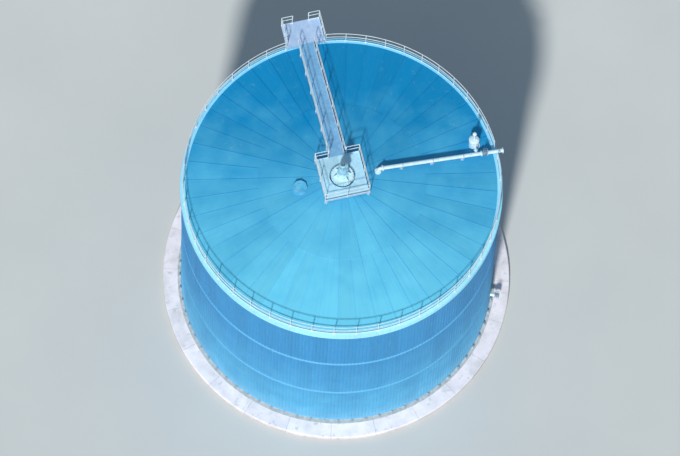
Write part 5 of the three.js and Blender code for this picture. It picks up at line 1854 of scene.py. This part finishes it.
@dataclass
class WallFittings(Assembly):
    """The manhole and the feed and drain nozzles low on the wall."""

    manhole_angle: float = 7.5 * FACET
    manhole_height: float = 1.25
    manhole_radius: float = 0.40
    manhole_reach: float = 0.26
    nozzle_radius: float = 0.11
    nozzle_flange: float = 0.175
    nozzle_reach: float = 0.32
    valve_length: float = 0.30
    seal: Form = field(init=False, default_factory=Form)

    def build(self) -> None:
        """Build the manhole, then each nozzle with its valve."""
        self.manhole()
        self.nozzle("feed", -4.5 * FACET, 1.3)
        self.nozzle("drain", 4.5 * FACET, 0.9)
        self.bolts.piece("wall_fitting_bolts", "galvanised_steel", self.stock.bolt)
        self.dark.piece("valve_bore_painted_shade", "valve_paint", self.stock.bore)
        self.seal.piece("manhole_gasket", "valve_paint", self.stock.rubber)

    def manhole(self) -> None:
        """Build the manhole: collar, neck, bolted cover with handles, and its davit."""
        form = Form()
        radius, flange, face = self.manhole_radius, self.manhole_radius + 0.08, self.manhole_reach
        seam, post, top = face - FLANGE, flange + 0.05, flange + 0.16
        out = polar(1, self.manhole_angle)
        # In this place Z is outwards from the wall, X is up and Y is to the side
        place = aimed(out * RADIUS + UP * self.manhole_height, out, UP)
        form.column(place, [
            (radius + 0.12, -0.02), (radius + 0.12, 0.032), (radius + 0.114, 0.036),
            (radius + 0.012, 0.036), (radius, 0.048), (radius, seam - FLANGE - 0.001),
            (flange, seam - FLANGE), (flange, seam - 0.002)], 56)
        self.seal.column(place, [(flange - 0.008, seam - 0.003), (flange - 0.008, seam + 0.003)], 56)
        form.column(place, [
            (flange - 0.002, seam + 0.002), (flange, seam + 0.004), (flange, face - 0.004),
            (flange - 0.004, face), (radius - 0.06, face), (radius - 0.075, face - 0.006)], 56)
        self.bolts.bolt_circle(shifted(place, z=face), radius + 0.042, 24, 0.020)
        self.bolts.bolt_circle(shifted(place, z=0.036), radius + 0.085, 24, 0.010)
        for side in (-0.18, 0.18):
            grip = [place @ Vector((x, side, face + z)) for x, z in (
                (-0.07, -0.008), (-0.07, 0.055), (0.07, 0.055), (0.07, -0.008))]
            form.tube(rounded(grip, 0.03), 0.009, 8)
        davit = [place @ Vector(point) for point in (
            (-0.12, post, 0.10), (top, post, 0.10), (top, post, face + 0.10), (top, 0.0, face + 0.16))]
        form.tube(rounded(davit, 0.12), 0.019, 12)
        for x in (-0.10, 0.16):
            form.box(shifted(place, x, post, 0.05), (0.06, 0.07, 0.13))
        hook = [place @ Vector((x, 0.0, face + z)) for x, z in (
            (flange + 0.17, 0.155), (flange - 0.06, 0.155), (flange - 0.09, 0.06), (radius - 0.06, 0.02))]
        form.tube(rounded(hook, 0.05), 0.008, 8)
        form.piece("manhole_and_cover", "blue_cladding", self.stock.manhole, ["manhole"])

    def nozzle(self, name: str, angle: float, height: float) -> None:
        """Build one nozzle with its wall collar, jacket band and flange, and the valve on it.

        Args:
            name: The nozzle's name.
            angle: Its way from the tank's axis.
            height: The height of its middle.
        """
        form, casting = Form(), Form()
        radius, flange, end, out = self.nozzle_radius, self.nozzle_flange, self.nozzle_reach, polar(1, angle)
        place = aimed(out * RADIUS + UP * height, out, UP)
        form.column(place, [
            (flange + 0.04, -0.02), (flange + 0.04, 0.031), (flange + 0.036, 0.034), (radius + 0.01, 0.034),
            (radius, 0.044), *band(radius, end - 0.15, end - 0.12, 0.003), (radius, end - FLANGE - 0.001),
            *disc(flange, end - FLANGE, end)], 36)
        self.bolts.bolt_circle(shifted(place, z=0.034), flange + 0.015, 12, 0.009)
        back = aimed(place @ Vector((0, 0, end - FLANGE)), -out, UP)
        self.bolts.bolt_circle(back, (radius + flange) / 2 + 0.012, 8, 0.014)
        form.piece(f"{name}_nozzle_flanged", "pipe_jacket", self.stock.jacket, [f"{name}_nozzle"])
        valve = aimed(out * (RADIUS + end) + UP * height, UP, out)
        GateValve(valve, self.valve_length, radius, flange).build(casting, self.bolts, self.dark, mouth=True)
        casting.piece(f"{name}_gate_valve", "valve_paint", self.stock.casting, [f"{name}_valve"])


@dataclass
class Studio:
    """The plain floor, the soft light and the camera, which looks down as the photograph does."""

    azimuth: float = math.radians(-16.5)
    elevation: float = math.radians(68)
    roll: float = math.radians(3.5)
    distance: float = 450.0
    lens: float = 375.0
    target: Vector = field(default_factory=lambda: Vector((0.0, -0.2, 9.0)))
    light_from: Vector = field(default_factory=lambda: Vector((-0.314, -0.660, 0.682)))
    light_strength: float = 3.6
    light_softness: float = math.radians(4.5)
    sky: str = "a9bccb"
    sky_strength: float = 0.56
    floor_size: float = 900.0
    floor_drop: float = 0.004

    def build(self) -> None:
        """Build the floor, the lights and the camera."""
        self.floor()
        self.lights()
        self.camera()

    def floor(self) -> None:
        """Lay a pale matt floor just under the tank."""
        finish = Finish("matt_studio_floor", roughness=0.95)
        grey = finish.add("ValToRGB", (Patches(9000, 3.0),),
                          stops=[(0.3, linear("c0c6ca")), (0.7, linear("c5cbce"))])
        finish.tree.links.new(grey, finish.shader.inputs["Base Color"])
        half = self.floor_size / 2
        mesh = bpy.data.meshes.new("studio_floor")
        mesh.from_pydata([(-half, -half, 0), (half, -half, 0), (half, half, 0), (-half, half, 0)], [],
                         [(0, 1, 2, 3)])
        mesh.materials.append(finish.material)
        floor = bpy.data.objects.new("studio_floor", mesh)
        floor.location.z = -self.floor_drop
        bpy.context.scene.collection.objects.link(floor)

    def lights(self) -> None:
        """Add one broad key light and an even pale surround."""
        key = bpy.data.lights.new("key", "SUN")
        key.energy = self.light_strength
        key.angle = self.light_softness
        key.color = linear("fffaf0")[:3]
        lamp = bpy.data.objects.new("key", key)
        lamp.rotation_mode = "QUATERNION"
        lamp.rotation_quaternion = self.light_from.to_track_quat("Z", "Y")
        bpy.context.scene.collection.objects.link(lamp)
        world = bpy.data.worlds.new("surround")
        world.use_nodes = True
        surround = world.node_tree.nodes["Background"]
        surround.inputs["Color"].default_value = linear(self.sky)
        surround.inputs["Strength"].default_value = self.sky_strength
        bpy.context.scene.world = world
        bpy.context.scene.view_settings.view_transform = "Standard"

    def camera(self) -> None:
        """Add the camera, turned about its own axis as the photograph's is."""
        data = bpy.data.cameras.new("camera")
        data.lens = self.lens
        data.clip_end = 4 * self.distance
        camera = bpy.data.objects.new("camera", data)
        level = Vector((-math.sin(self.azimuth), math.cos(self.azimuth), 0))
        look = level * math.cos(self.elevation) - UP * math.sin(self.elevation)
        camera.location = self.target - look * self.distance
        camera.rotation_mode = "QUATERNION"
        camera.rotation_quaternion = look.to_track_quat("-Z", "Y") @ Quaternion((0, 0, 1), self.roll)
        bpy.context.scene.collection.objects.link(camera)
        bpy.context.scene.camera = camera


def main() -> None:
    """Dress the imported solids, build every sub-assembly and set the studio."""
    logging.basicConfig(level=logging.INFO, format="%(name)s: %(message)s")
    stock = Stock()
    stock.dress_solids()
    for kind in (Foundation, BaseRing, Cladding, RoofCovering, Guards, Decks, Mixer, GasLine, Hatch,
                 WallFittings):
        log.info("building %s", kind.__name__)
        kind(stock).build()
    Studio().build()


if __name__ == "__main__":
    main()
